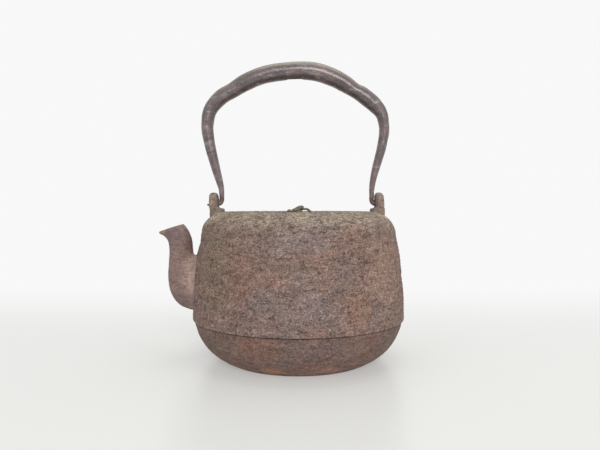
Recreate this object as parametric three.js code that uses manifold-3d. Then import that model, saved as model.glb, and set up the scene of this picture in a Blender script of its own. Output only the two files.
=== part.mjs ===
// A cast iron kettle for boiling water over charcoal, with a forged bail handle and a small lift-off lid.
// Millimetres, +Z up. The origin is the centre of the flat base, and the spout points along -X.
import * as THREE from "three";
import { mergeVertices } from "three/addons/utils/BufferGeometryUtils.js";
import Module from "manifold-3d";

const wasm = await Module();
wasm.setup();

// Clearances
const SEAT_GAP = 0.3; // between castings that are seated in one another
const PIN_PLAY = 0.5; // round a hook that turns in its eye

// Upper casting: skirt, leaning wall, shoulder and sunk mouth
const SKIRT_R = 78;
const SEAM_Z = 30.5;
const SKIRT_LIP_H = 2.5;
const SHELL_WALL = 2.8;
const TOP_Z = 108.7;
const SHOULDER_R = 18.6;
const SHOULDER_CENTRE_R = 53.7;
const WALL_BULGE = 1.5; // how far the wall swells past a straight line
const LUMP_DEPTH = 1.2; // how deep the broad hollows of the cast skin are
const LUMP_LEAN = 0.45; // the share of it that the spout's side has more, and the far side less
const LUMP_PITCH = 24; // how far apart they are up the wall
const LUMP_FADE = 4; // how far they take to fade at the shoulder's inner edge
const WELL_R = 43.5; // the round well that the lid drops into
const WELL_ROUND = 4;
const WELL_CORNER = 1; // the cut corner behind the well, where its wall meets the shoulder
const SEAT_Z = 100.8; // the ledge that the lid rests on
const LEDGE_T = 3;
const MOUTH_R = 36.5;

// Lower casting: a bowl whose rim stands up inside the skirt
const SKIRT_STEP = 1.3; // how far the skirt overhangs the bowl
const BASE_R = 54;
const BASE_EDGE = 1.2;
const BOWL_ARC_R = 37.5;
const BOWL_WALL = 3;
const RIM_H = 4;
const RIM_T = 2.4;

// Spout
const SPOUT_Z = 56; // height of its root's centre
const SPOUT_REACH = 27.1; // how far the lip stands out from the wall
const SPOUT_CLIMB = 43.4; // how far the lip stands above the root's centre
const SPOUT_ROOT_HALF_W = 18.2;
const SPOUT_WALL = 2.6;
const SPOUT_RIM_WALL = 1.8;
const SPIGOT_STEP = 1.2; // the root's shoulder, which stops it against the wall
const SPIGOT_PAST_WALL = 1.2;
const SPIGOT_IN_SPOUT = 3.2; // how far the spigot runs into the spout from the wall's face

// Lugs
const LUG_SPAN = 61.5; // from the handle's middle to each lug's middle
const BAIL_SHIFT = 1.3; // the lugs and handle sit this far towards the spout
const LUG_HALF_T = 3.5;
const LUG_HALF_W = 8.6;
const LUG_TOP_Z = 122.8;
const LUG_CROWN_SHIFT = 0.3; // both crowns lean this far towards the spout
const LUG_ROOT_FLARE = 4.2; // how far the root spreads towards the lid
const LUG_ROOT_LEAN = 0.5; // both roots stand this far away from the spout
const LUG_ROOT_SINK = 3; // how deep the root is drawn before the shell trims it
const TENON_HALF_T = 2;
const TENON_HALF_W = 4;
const TENON_HEAD = 1.4; // how far the peened head spreads and stands inside
const TENON_IN_LUG = 1.5; // how far the stem runs up into the lug

// Handle
const PIVOT_Z = 114.4;
const HOOK_R = 1.9;
const LEG_PLAY = 0.3; // between a leg of the handle and its lug
const HANDLE_TOP_Z = 219.6;
const HANDLE_HALF_T = 6.7;
const HANDLE_HALF_D = 6.8;
const HANDLE_WALL = 1.7; // the arch is rolled from sheet and hollow
const HANDLE_SLOT_L = 16;
const HANDLE_SLOT_W = 7.4;
const HANDLE_SLOT_SHIFT = 1.6; // how far the slot sits towards the spout
const HOOK_TAIL = 1.8; // how far the spout side's tapered tip stands out of its lug
const HOOK_END = 0.5; // how far the other tip does
const HOOK_TIP_R = 0.6;
const HOOK_DROOP = 0.9; // how far a hook hangs below its axis where it leaves the eye

// Lid
const LID_T = 2.2;
const LID_DOME = 2.4;
const LID_FLAT_DEPTH = 0.1; // the flat that the knob's washer stands on
const LID_FLAT_MARGIN = 1;
const LID_EDGE_CUT = 0.4; // how far its rim falls away
const LID_PLAY = 1; // round the lid in its well
const FLANGE_H = 7;
const FLANGE_T = 2.2;
const FLANGE_PLAY = 1;

// Knob and what holds it
const KNOB_TOP_Z = 113.4;
const KNOB_HALF_L = 9;
const KNOB_HALF_D = 3;
const KNOB_NECK_R = 2.8;
const KNOB_FOOT_R = 3.8;
const WASHER_R = 6.4;
const WASHER_T = 0.9;
const BURR_R = 4.6;
const BURR_T = 0.8;
const KNOB_PIN_R = 1.5;
const KNOB_PIN_HEAD_R = 2.7;
const KNOB_PIN_HEAD_T = 1.1;
const KNOB_PIN_IN_KNOB = 3;

const TURN_SIDES = 48;
const IRON = 0x5b4a40;
const FORGED_IRON = 0x4a4040;
const LID_BRONZE = 0x5f5a45;
const KNOB_BRONZE = 0x66634f;

// Geometry helpers

// A manifold solid from any closed three.js geometry.
function solid(geometry) {
  const bare = geometry.clone();
  for (const name of Object.keys(bare.attributes)) if (name !== "position") bare.deleteAttribute(name);
  const merged = mergeVertices(bare, 1e-4);
  const mesh = new wasm.Mesh({
    numProp: 3,
    vertProperties: merged.attributes.position.array,
    triVerts: new Uint32Array(merged.index.array),
  });
  return new wasm.Manifold(mesh);
}

// A named three.js mesh from a manifold solid or a geometry.
function part(name, shape, colour = IRON, roughness = 0.85, metalness = 0.35) {
  let geometry = shape;
  if (!shape.isBufferGeometry) {
    const m = shape.getMesh();
    const points = new Float32Array(m.numVert * 3);
    for (let i = 0; i < m.numVert; i++) {
      points.set(m.vertProperties.subarray(i * m.numProp, i * m.numProp + 3), i * 3);
    }
    geometry = new THREE.BufferGeometry();
    geometry.setAttribute("position", new THREE.BufferAttribute(points, 3));
    geometry.setIndex(new THREE.BufferAttribute(new Uint32Array(m.triVerts), 1));
    geometry.computeVertexNormals();
  }
  const material = new THREE.MeshStandardMaterial({ color: colour, roughness, metalness });
  const mesh = new THREE.Mesh(geometry, material);
  mesh.name = name;
  return mesh;
}

// Points of a circular arc, ends included, as [radius, height] pairs.
function arc(centreR, centreZ, radius, from, to, steps) {
  const points = [];
  for (let i = 0; i <= steps; i++) {
    const angle = from + ((to - from) * i) / steps;
    points.push([centreR + radius * Math.cos(angle), centreZ + radius * Math.sin(angle)]);
  }
  return points;
}

// A closed profile of [radius, height] pairs, anticlockwise, turned about +Z.
function turned(profile, sides = TURN_SIDES) {
  const points = profile.map(([r, z]) => new THREE.Vector2(Math.max(r, 0), z));
  if (points[0].x > 0 || points.at(-1).x > 0) points.push(points[0].clone());
  return new THREE.LatheGeometry(points, sides).rotateX(Math.PI / 2);
}

// A closed skin through a row of rings that all have the same number of points.
function loft(rings) {
  const sides = rings[0].length;
  const positions = [];
  const index = [];
  for (const ring of rings) for (const p of ring) positions.push(p.x, p.y, p.z);
  for (let k = 0; k + 1 < rings.length; k++) {
    for (let i = 0; i < sides; i++) {
      const a = k * sides + i;
      const b = k * sides + ((i + 1) % sides);
      index.push(a, b, b + sides, a, b + sides, a + sides);
    }
  }
  for (const [ring, flip] of [[rings[0], true], [rings.at(-1), false]]) {
    const first = ring === rings[0] ? 0 : (rings.length - 1) * sides;
    const middle = ring.reduce((sum, p) => sum.add(p), new THREE.Vector3()).divideScalar(sides);
    const hub = positions.length / 3;
    positions.push(middle.x, middle.y, middle.z);
    for (let i = 0; i < sides; i++) {
      const a = first + i;
      const b = first + ((i + 1) % sides);
      index.push(...(flip ? [hub, b, a] : [hub, a, b]));
    }
  }
  const geometry = new THREE.BufferGeometry();
  geometry.setAttribute("position", new THREE.BufferAttribute(new Float32Array(positions), 3));
  geometry.setIndex(index);
  return geometry;
}

// A loft as a solid, whichever way round its rings run.
function loftSolid(rings) {
  const made = solid(loft(rings));
  return made.volume() > 0 ? made : solid(loft(rings.map((ring) => [...ring].reverse())));
}

// An oval ring in a plane that holds the Y axis. One axis runs from point `from` to point `to` in the XZ
// plane. A pinch above 0 draws it to a beak at `to`.
function ovalRing(from, to, halfY, sides, pinch = 0) {
  const middle = [(from[0] + to[0]) / 2, (from[1] + to[1]) / 2];
  const half = [(to[0] - from[0]) / 2, (to[1] - from[1]) / 2];
  const ring = [];
  for (let i = 0; i < sides; i++) {
    const angle = (2 * Math.PI * i) / sides;
    const along = Math.cos(angle);
    const across = Math.sin(angle) * (1 - (pinch * (1 + along)) / 2);
    ring.push(new THREE.Vector3(middle[0] + half[0] * along, halfY * across, middle[1] + half[1] * along));
  }
  return ring;
}

// A tube with an oval section that changes along a curve in the XZ plane.
// Each station is [x, z, half thickness in the plane, half depth along Y].
function ovalTube(stations, rings, sides, shrink = 0) {
  const centres = stations.map(([x, z]) => new THREE.Vector3(x, 0, z));
  const halves = stations.map(([, , t, d]) => new THREE.Vector3(t, d, 0));
  const line = new THREE.CatmullRomCurve3(centres, false, "centripetal");
  const sizes = new THREE.CatmullRomCurve3(halves, false, "catmullrom", 0.5);
  const made = [];
  for (let k = 0; k <= rings; k++) {
    const centre = line.getPoint(k / rings);
    const tangent = line.getTangent(k / rings);
    const size = sizes.getPoint(k / rings);
    const normal = [-tangent.z * (size.x - shrink), tangent.x * (size.x - shrink)];
    const from = [centre.x - normal[0], centre.z - normal[1]];
    const to = [centre.x + normal[0], centre.z + normal[1]];
    made.push(ovalRing(from, to, size.y - shrink, sides));
  }
  return loftSolid(made);
}

// A box as a solid, given its lowest and highest corners.
function block(low, high) {
  const size = low.map((v, i) => high[i] - v);
  const box = new THREE.BoxGeometry(...size);
  box.translate(...low.map((v, i) => v + size[i] / 2));
  return solid(box);
}

// A cylinder about +Z as a solid.
function rodAlongZ(radius, from, to, sides = 20, topRadius = radius) {
  const rod = new THREE.CylinderGeometry(topRadius, radius, to - from, sides);
  rod.rotateX(Math.PI / 2);
  rod.translate(0, 0, (from + to) / 2);
  return solid(rod);
}

// A cylinder along X as a solid.
function rodAlongX(radius, from, to, z, sides = 20) {
  const rod = new THREE.CylinderGeometry(radius, radius, to - from, sides);
  rod.rotateZ(Math.PI / 2);
  rod.translate((from + to) / 2, 0, z);
  return solid(rod);
}

// Upper casting

// The outer line of the shell from its lower edge to the flat of its top, grown outwards by a gap, and the
// two ends of its leaning wall.
function shellOuter(gap = 0, steps = 7) {
  const startZ = SEAM_Z + SKIRT_LIP_H;
  const centreZ = TOP_Z - SHOULDER_R;
  const dr = SKIRT_R - SHOULDER_CENTRE_R;
  const dz = startZ - centreZ;
  const lean = Math.atan2(dz, dr) + Math.acos(SHOULDER_R / Math.hypot(dr, dz));
  const foot = [SKIRT_R, startZ];
  const head = arc(SHOULDER_CENTRE_R, centreZ, SHOULDER_R, lean, lean, 1)[0];
  const wall = [1, 2, 3, 4, 5].map((step) => {
    const share = step / 6;
    const r = THREE.MathUtils.lerp(foot[0], head[0], share);
    return [r + swell(share) + gap, THREE.MathUtils.lerp(foot[1], head[1], share)];
  });
  return {
    lean,
    centreZ,
    foot,
    head,
    points: [
      [SKIRT_R + gap, SEAM_Z],
      [SKIRT_R + gap, startZ],
      ...wall,
      ...arc(SHOULDER_CENTRE_R, centreZ, SHOULDER_R + gap, lean, Math.PI / 2, steps),
    ],
  };
}

// How far the wall swells past its straight line at a share of its height.
function swell(share) {
  return 4 * WALL_BULGE * share * (1 - share);
}

// The shell's outer radius at a height on its leaning wall.
function wallRadius(z) {
  const { foot, head } = shellOuter();
  const share = (z - foot[1]) / (head[1] - foot[1]);
  return foot[0] + (head[0] - foot[0]) * share + swell(share);
}

// The height of the shell's outer face at a radius, on its shoulder or further out on its leaning wall.
function faceHeight(r) {
  const { foot, head, centreZ } = shellOuter();
  if (r > head[0]) return head[1] + ((foot[1] - head[1]) * (r - head[0])) / (foot[0] - head[0]);
  const across = Math.max(0, r - SHOULDER_CENTRE_R);
  return centreZ + Math.sqrt(SHOULDER_R ** 2 - across ** 2);
}

// Everything inside the shell's outer face, grown by a gap, to trim what stands on it.
function shellEnvelope(gap) {
  const { points } = shellOuter(gap);
  return solid(turned([[0, SEAM_Z], ...points, [0, TOP_Z + gap]]));
}

// The room inside the shell's leaning wall and shoulder, drawn in by a gap.
function cavity(gap) {
  const { lean, centreZ } = shellOuter();
  const innerR = SKIRT_R - SHELL_WALL - gap;
  return solid(turned([
    [0, SEAM_Z],
    [innerR, SEAM_Z],
    [innerR, SEAM_Z + SKIRT_LIP_H],
    ...arc(SHOULDER_CENTRE_R, centreZ, SHOULDER_R - SHELL_WALL - gap, lean, Math.PI / 2, 6),
    [0, TOP_Z - SHELL_WALL - gap],
  ]));
}

// The waves that make the shell's broad lumps. Each has how many run round the body, how many pitches it
// climbs in one pitch of height, and its phase.
const LUMP_WAVES = [
  [5, 0.9, 0.4],
  [9, -0.6, 2.2],
  [13, 0.8, 4.1],
  [16, -0.9, 1.3],
  [8, 0.2, 5.2],
  [19, 0.5, 3],
];

// How deep the skin is sunk at a point of the shell's outer face: 0 on a lump and near what is mounted there.
function hollowDepth(p) {
  const angle = Math.atan2(p.y, p.x);
  const climb = (2 * Math.PI * p.z) / LUMP_PITCH;
  const wave = ([turns, rise, phase]) => Math.sin(turns * angle + rise * climb + phase);
  const waves = LUMP_WAVES.reduce((sum, one) => sum + wave(one), 0);
  const level = 0.5 + 0.18 * waves - LUMP_LEAN * Math.cos(angle);
  const fromRoot = Math.hypot(p.y / SPOUT_ROOT_HALF_W, (p.z - SPOUT_Z) / (SPOUT_CLIMB / 2));
  const fromSpout = p.x < 0 ? fromRoot : Infinity;
  const acrossLug = (Math.abs(p.x + BAIL_SHIFT) - LUG_SPAN) / (LUG_HALF_T + LUG_ROOT_FLARE);
  const fromLug = Math.hypot(acrossLug, p.y / (LUG_HALF_W + LUG_ROOT_FLARE));
  const clear = THREE.MathUtils.smoothstep(Math.min(fromSpout, fromLug), 1.1, 1.7);
  const above = (p.z - SEAM_Z - SKIRT_LIP_H) / (2 * LUMP_FADE);
  const beyond = (Math.hypot(p.x, p.y) - SHOULDER_CENTRE_R) / LUMP_FADE;
  const edge = THREE.MathUtils.clamp(Math.min(above, beyond), 0, 1);
  return LUMP_DEPTH * THREE.MathUtils.clamp(level, 0, 1) * clear * edge;
}

// Sink the first points of each row of a turned form into the hollows of the cast skin.
function lumped(geometry, firstPoints) {
  const at = geometry.attributes.position;
  const row = at.count / (TURN_SIDES + 1);
  for (let i = 0; i < at.count; i++) {
    if (i % row >= firstPoints) continue;
    const p = new THREE.Vector3().fromBufferAttribute(at, i);
    const radius = Math.hypot(p.x, p.y);
    const up = Math.max(0, p.z - TOP_Z + SHOULDER_R);
    const out = new THREE.Vector2(radius - SHOULDER_CENTRE_R, up).normalize();
    const depth = hollowDepth(p);
    const shrink = 1 - (out.x * depth) / radius;
    at.setXYZ(i, p.x * shrink, p.y * shrink, p.z - out.y * depth);
  }
  return geometry;
}

function upperShell() {
  const { points, lean, centreZ } = shellOuter();
  const innerR = SHOULDER_R - SHELL_WALL;
  const profile = [
    ...points,
    ...arc(WELL_R + WELL_ROUND, TOP_Z - WELL_ROUND, WELL_ROUND, Math.PI / 2, Math.PI, 5),
    [WELL_R, SEAT_Z],
    [MOUTH_R, SEAT_Z],
    [MOUTH_R, SEAT_Z - LEDGE_T],
    [WELL_R + SHELL_WALL, SEAT_Z - LEDGE_T],
    [WELL_R + SHELL_WALL, TOP_Z - SHELL_WALL - WELL_CORNER],
    [WELL_R + SHELL_WALL + WELL_CORNER, TOP_Z - SHELL_WALL],
    ...arc(SHOULDER_CENTRE_R, centreZ, innerR, Math.PI / 2, lean, 6),
    [SKIRT_R - SHELL_WALL, SEAM_Z + SKIRT_LIP_H],
    [SKIRT_R - SHELL_WALL, SEAM_Z],
  ];
  return solid(lumped(turned(profile), points.length));
}

// Lower casting

// The bowl's arc between two points, bulging outwards and downwards.
function bowlArc(r0, z0, r1, z1, radius, steps) {
  const half = Math.hypot(r1 - r0, z1 - z0) / 2;
  const sag = Math.sqrt(Math.max(radius ** 2 - half ** 2, 0));
  const nr = -(z1 - z0) / (2 * half);
  const nz = (r1 - r0) / (2 * half);
  const cr = (r0 + r1) / 2 + nr * sag;
  const cz = (z0 + z1) / 2 + nz * sag;
  return arc(cr, cz, radius, Math.atan2(z0 - cz, r0 - cr), Math.atan2(z1 - cz, r1 - cr), steps);
}

function bottomBowl() {
  const topZ = SEAM_Z - SEAT_GAP;
  const bowlR = SKIRT_R - SKIRT_STEP;
  const rimR = SKIRT_R - SHELL_WALL - SEAT_GAP;
  const rimTop = SEAM_Z + RIM_H;
  const rimTopR = wallRadius(rimTop) - SHELL_WALL - SEAT_GAP;
  const profile = [
    [0, 0],
    [BASE_R - BASE_EDGE, 0],
    ...bowlArc(BASE_R, BASE_EDGE / 2, bowlR, topZ, BOWL_ARC_R, 8),
    [rimR, topZ],
    [rimR, SEAM_Z + SKIRT_LIP_H],
    [rimTopR, rimTop],
    [rimTopR - RIM_T, rimTop],
    ...bowlArc(BASE_R - BOWL_WALL / 2, BOWL_WALL, rimR - RIM_T, topZ, BOWL_ARC_R - BOWL_WALL, 5).reverse(),
    [0, BOWL_WALL],
  ];
  return solid(turned(profile));
}

// Spout

// Sections of the spout from its root to its mouth. Each has the outer edge, then the inner edge, as shares
// of the reach out from the wall and of the climb from the root's centre, then its half width along Y as a
// share of the root's, and its pinch.
const SPOUT_SECTIONS = [
  [-0.145, -0.498, -0.145, 0.484, 1, 0],
  [-0.004, -0.493, -0.039, 0.477, 0.989, 0],
  [0.053, -0.486, -0.007, 0.468, 0.934, 0],
  [0.134, -0.475, 0.011, 0.465, 0.89, 0],
  [0.261, -0.449, 0.018, 0.468, 0.852, 0],
  [0.382, -0.412, 0.028, 0.472, 0.824, 0],
  [0.509, -0.346, 0.039, 0.479, 0.786, 0],
  [0.618, -0.253, 0.049, 0.488, 0.742, 0],
  [0.703, -0.115, 0.057, 0.505, 0.687, 0],
  [0.746, 0.099, 0.06, 0.535, 0.626, 0],
  [0.728, 0.306, 0.064, 0.581, 0.577, 0],
  [0.707, 0.507, 0.071, 0.641, 0.544, 0],
  [0.717, 0.629, 0.085, 0.714, 0.533, 0.05],
  [0.767, 0.728, 0.127, 0.811, 0.527, 0.12],
  [0.87, 0.793, 0.201, 0.908, 0.522, 0.25],
  [0.98, 0.826, 0.29, 0.979, 0.511, 0.38],
  [1, 0.862, 0.329, 1, 0.505, 0.4],
].map(([outX, outZ, inX, inZ, halfY, pinch]) => ({
  outer: [-wallRadius(SPOUT_Z) - outX * SPOUT_REACH, SPOUT_Z + outZ * SPOUT_CLIMB],
  inner: [-wallRadius(SPOUT_Z) - inX * SPOUT_REACH, SPOUT_Z + inZ * SPOUT_CLIMB],
  halfY: halfY * SPOUT_ROOT_HALF_W,
  pinch,
}));

// The spout's rings, each drawn in by an inset at every side.
function spoutRings(inset, sides) {
  return SPOUT_SECTIONS.map(({ outer, inner, halfY, pinch }, k) => {
    const near = inset * (k === SPOUT_SECTIONS.length - 1 ? SPOUT_RIM_WALL / SPOUT_WALL : 1);
    const length = Math.hypot(outer[0] - inner[0], outer[1] - inner[1]);
    const shift = [((outer[0] - inner[0]) / length) * near, ((outer[1] - inner[1]) / length) * near];
    const from = [inner[0] + shift[0], inner[1] + shift[1]];
    const to = [outer[0] - shift[0], outer[1] - shift[1]];
    return ovalRing(from, to, halfY - near, sides, pinch);
  });
}

// The oval that passes through the wall, drawn in by an inset, between two distances out from the wall.
function spigotBlock(inset, from, to, sides = 24) {
  const { outer, inner, halfY } = SPOUT_SECTIONS[1];
  const rings = [from, to].map((out) => {
    const x = -wallRadius(SPOUT_Z) - out;
    return ovalRing([x, inner[1] - inset], [x, outer[1] + inset], halfY - inset, sides);
  });
  return loftSolid(rings);
}

function spout() {
  const within = 4 * SHELL_WALL; // far enough into the water room to be trimmed by it
  const outside = loftSolid(spoutRings(0, 24)).subtract(shellEnvelope(SEAT_GAP));
  const spigot = spigotBlock(SPIGOT_STEP, -within, SPIGOT_IN_SPOUT).subtract(cavity(SPIGOT_PAST_WALL));
  const bore = spoutRings(SPOUT_WALL, 16);
  const mouth = bore.at(-1);
  const past = mouth.map((p) => p.clone().add(new THREE.Vector3(-1, 0, 2)));
  const root = bore[0].map((p) => p.clone().add(new THREE.Vector3(within, 0, 0)));
  return outside.add(spigot).subtract(loftSolid([root, ...bore, past]));
}

// Lugs

// A squarish oval ring at a height.
function squareRing(x, z, halfX, halfY, sides = 20, squareness = 0.62) {
  const ring = [];
  for (let i = 0; i < sides; i++) {
    const angle = (2 * Math.PI * i) / sides;
    const c = Math.cos(angle);
    const s = Math.sin(angle);
    const px = Math.sign(c) * Math.abs(c) ** squareness * halfX;
    const py = Math.sign(s) * Math.abs(s) ** squareness * halfY;
    ring.push(new THREE.Vector3(x + px, py, z));
  }
  return ring;
}

// A lug: an ear with an eye, spreading at its root towards the lid, on a tenon through the shoulder.
function lug(side) {
  const x = -BAIL_SHIFT + side * LUG_SPAN;
  const rootZ = faceHeight(Math.abs(x) + LUG_HALF_T) - SHELL_WALL - LUG_ROOT_SINK;
  const sillZ = PIVOT_Z - HOOK_R - PIN_PLAY;
  const height = LUG_TOP_Z - sillZ;
  // Shares of the root's flare, on the side of the lid and on both flanks.
  const root = [
    [rootZ, 1.2, 0.5],
    [sillZ - LUG_ROOT_FLARE * 0.5, 1, 0.25],
    [sillZ - LUG_ROOT_FLARE * 0.26, 0.75, 0],
  ];
  // Shares of the ear's height, its half thickness, its half width and its crown's lean.
  const ear = [
    [0, 1, 1, 0],
    [0.3, 1, 0.98, 0.1],
    [0.55, 0.98, 0.9, 0.4],
    [0.76, 0.95, 0.76, 0.8],
    [0.88, 0.84, 0.58, 1],
    [0.96, 0.64, 0.4, 1],
    [1, 0.3, 0.16, 1],
  ];
  const rings = [
    ...root.map(([z, inward, flank]) => {
      const spread = (inward * LUG_ROOT_FLARE) / 2;
      const middle = x - side * spread + inward * LUG_ROOT_LEAN;
      return squareRing(middle, z, LUG_HALF_T + spread, LUG_HALF_W + flank * LUG_ROOT_FLARE);
    }),
    ...ear.map(([up, thick, wide, lean]) =>
      squareRing(x - lean * LUG_CROWN_SHIFT, sillZ + up * height, thick * LUG_HALF_T, wide * LUG_HALF_W)),
  ];
  const past = LUG_HALF_T + LUG_ROOT_FLARE;
  const eye = rodAlongX(HOOK_R + PIN_PLAY, x - past, x + past, PIVOT_Z);
  return loftSolid(rings).subtract(shellEnvelope(SEAT_GAP)).add(tenon(side, 0)).subtract(eye);
}

// The tenon of a lug: a stem through the shoulder and a peened head under it, grown by a gap.
function tenon(side, gap) {
  const x = -BAIL_SHIFT + side * LUG_SPAN;
  const topZ = faceHeight(Math.abs(x) - TENON_HALF_T) + TENON_IN_LUG;
  const lowZ = TOP_Z - SHOULDER_R;
  const stem = block(
    [x - TENON_HALF_T - gap, -TENON_HALF_W - gap, lowZ],
    [x + TENON_HALF_T + gap, TENON_HALF_W + gap, topZ],
  );
  if (gap > 0) return stem;
  const spread = TENON_HALF_T + TENON_HEAD;
  const flank = TENON_HALF_W + TENON_HEAD;
  const head = block([x - spread, -flank, lowZ], [x + spread, flank, topZ]);
  return head.intersect(cavity(SEAT_GAP)).add(stem).subtract(cavity(SEAT_GAP + TENON_HEAD));
}

// Handle

// Stations of the hand-forged bail, from above the spout side's hook to the other hook. Each has its distance
// from the middle as a share of the feet's, its height above the pivot as a share of the rise, then its half
// thickness in the handle's plane and its half depth as shares of the grip's.
const RISE = HANDLE_TOP_Z - HANDLE_HALF_T - PIVOT_Z;
const FOOT_SPAN = LUG_SPAN - LUG_HALF_T - LEG_PLAY - HOOK_R;
const BAIL_STATIONS = [
  [-1, 0.06, 0.284, 0.382],
  [-1.006, 0.112, 0.325, 0.412],
  [-1.029, 0.164, 0.388, 0.471],
  [-1.059, 0.225, 0.463, 0.544],
  [-1.1, 0.314, 0.537, 0.632],
  [-1.144, 0.413, 0.597, 0.706],
  [-1.179, 0.517, 0.657, 0.765],
  [-1.187, 0.598, 0.701, 0.809],
  [-1.145, 0.707, 0.791, 0.853],
  [-1.009, 0.798, 0.866, 0.882],
  [-0.855, 0.85, 0.858, 0.868],
  [-0.696, 0.907, 0.948, 0.926],
  [-0.469, 0.961, 0.963, 0.971],
  [-0.254, 0.987, 0.985, 0.985],
  [0.015, 1, 1, 1],
  [0.255, 0.99, 1.015, 0.985],
  [0.467, 0.951, 1, 0.971],
  [0.631, 0.904, 0.955, 0.926],
  [0.768, 0.853, 0.821, 0.868],
  [0.864, 0.822, 0.896, 0.882],
  [1.015, 0.754, 0.881, 0.868],
  [1.119, 0.685, 0.716, 0.809],
  [1.158, 0.608, 0.604, 0.779],
  [1.164, 0.54, 0.575, 0.75],
  [1.13, 0.421, 0.522, 0.691],
  [1.072, 0.299, 0.463, 0.603],
  [1.031, 0.209, 0.388, 0.529],
  [1.004, 0.119, 0.321, 0.426],
  [1, 0.06, 0.284, 0.382],
].map(([across, up, thick, deep]) => [
  -BAIL_SHIFT + across * FOOT_SPAN,
  PIVOT_Z + up * RISE,
  thick * HANDLE_HALF_T,
  deep * HANDLE_HALF_D,
]);
const FIRST_HOLLOW = 8;
const LAST_HOLLOW = 20;

// A hook from the foot of a leg, round a bend and out through the eye, as stations that start at its tip.
function hook(side, tail) {
  const face = -BAIL_SHIFT + side * (LUG_SPAN + LUG_HALF_T);
  const leg = -BAIL_SHIFT + side * FOOT_SPAN;
  return [
    [face + side * tail, PIVOT_Z - HOOK_DROOP * 0.7, HOOK_TIP_R, HOOK_TIP_R],
    [face + (side * tail) / 2, PIVOT_Z - HOOK_DROOP, HOOK_R * 0.5, HOOK_R * 0.5],
    [face - side * HOOK_R * 0.5, PIVOT_Z - HOOK_DROOP * 0.8, HOOK_R * 0.62, HOOK_R * 0.62],
    [leg + side * HOOK_R * 1.8, PIVOT_Z, HOOK_R, HOOK_R],
    [leg + side * HOOK_R * 0.5, PIVOT_Z + HOOK_R * 0.4, HOOK_R, HOOK_R],
    [leg, PIVOT_Z + HOOK_R * 1.7, HOOK_R, HOOK_R * 1.1],
  ];
}

// The long slot under the grip, with round ends.
function gripSlot() {
  const radius = HANDLE_SLOT_W / 2;
  const low = HANDLE_TOP_Z - 3 * HANDLE_HALF_T;
  const high = HANDLE_TOP_Z - HANDLE_HALF_T;
  const reach = HANDLE_SLOT_L / 2 - radius;
  const middle = -BAIL_SHIFT - HANDLE_SLOT_SHIFT;
  const ends = [-reach, reach].map((x) => rodAlongZ(radius, low, high, 16).translate([middle + x, 0, 0]));
  const straight = block([middle - reach, -radius, low], [middle + reach, radius, high]);
  return straight.add(ends[0]).add(ends[1]);
}

function handle() {
  const stations = [...hook(-1, HOOK_TAIL), ...BAIL_STATIONS, ...hook(1, HOOK_END).reverse()];
  const hollow = ovalTube(BAIL_STATIONS.slice(FIRST_HOLLOW, LAST_HOLLOW + 1), 24, 10, HANDLE_WALL);
  return ovalTube(stations, 80, 14).subtract(hollow).subtract(gripSlot());
}

// Lid

const LID_R = WELL_R - LID_PLAY;
const LID_BOTTOM_Z = SEAT_Z + SEAT_GAP;
const LID_EDGE_Z = LID_BOTTOM_Z + LID_T;
const LID_TOP_Z = LID_EDGE_Z + LID_DOME;
const LID_FLAT_Z = LID_TOP_Z - LID_FLAT_DEPTH;

function lid() {
  const flangeR = MOUTH_R - FLANGE_PLAY;
  const innerR = flangeR - FLANGE_T;
  const dome = (r) => LID_EDGE_Z + LID_DOME * (1 - (r / LID_R) ** 2);
  const rise = [0, 0.2, 0.45, 0.7, 0.9].map((share) => [LID_R * share, dome(LID_R * share)]);
  const profile = [
    [0, LID_BOTTOM_Z + LID_DOME],
    [innerR * 0.5, LID_BOTTOM_Z + LID_DOME * 0.8],
    [innerR, LID_BOTTOM_Z + LID_DOME * 0.2],
    [innerR, LID_BOTTOM_Z - FLANGE_H],
    [flangeR, LID_BOTTOM_Z - FLANGE_H],
    [flangeR, LID_BOTTOM_Z],
    [LID_R, LID_BOTTOM_Z],
    [LID_R, LID_EDGE_Z - LID_EDGE_CUT],
    ...rise.reverse(),
  ];
  const hole = rodAlongZ(KNOB_PIN_R + SEAT_GAP, LID_BOTTOM_Z, LID_TOP_Z);
  const flat = rodAlongZ(WASHER_R + LID_FLAT_MARGIN, LID_FLAT_Z, LID_TOP_Z, 40);
  return solid(turned(profile)).subtract(hole).subtract(flat);
}

// Knob: a cast twig that rises to a bud, with a loop beside it
const KNOB_FOOT_Z = LID_FLAT_Z + SEAT_GAP + WASHER_T + SEAT_GAP;

// Each limb's stations are shares of the knob's half length, its height and its half depth.
const TWIG = [
  [-0.95, 0.27, 0.2, 0.3],
  [-0.86, 0.28, 0.37, 0.57],
  [-0.74, 0.3, 0.47, 0.73],
  [-0.56, 0.26, 0.45, 0.83],
  [-0.36, 0.34, 0.6, 0.93],
  [-0.12, 0.44, 0.73, 1],
  [0.1, 0.6, 0.73, 0.97],
  [0.28, 0.72, 0.58, 0.73],
  [0.4, 0.74, 0.37, 0.47],
  [0.455, 0.73, 0.17, 0.23],
];
const LOOP = [
  [0.2, 0.5, 0.33, 0.47],
  [0.45, 0.53, 0.32, 0.43],
  [0.66, 0.53, 0.32, 0.43],
  [0.84, 0.42, 0.35, 0.45],
  [0.95, 0.2, 0.38, 0.47],
  [0.97, 0.04, 0.4, 0.5],
];

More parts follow.
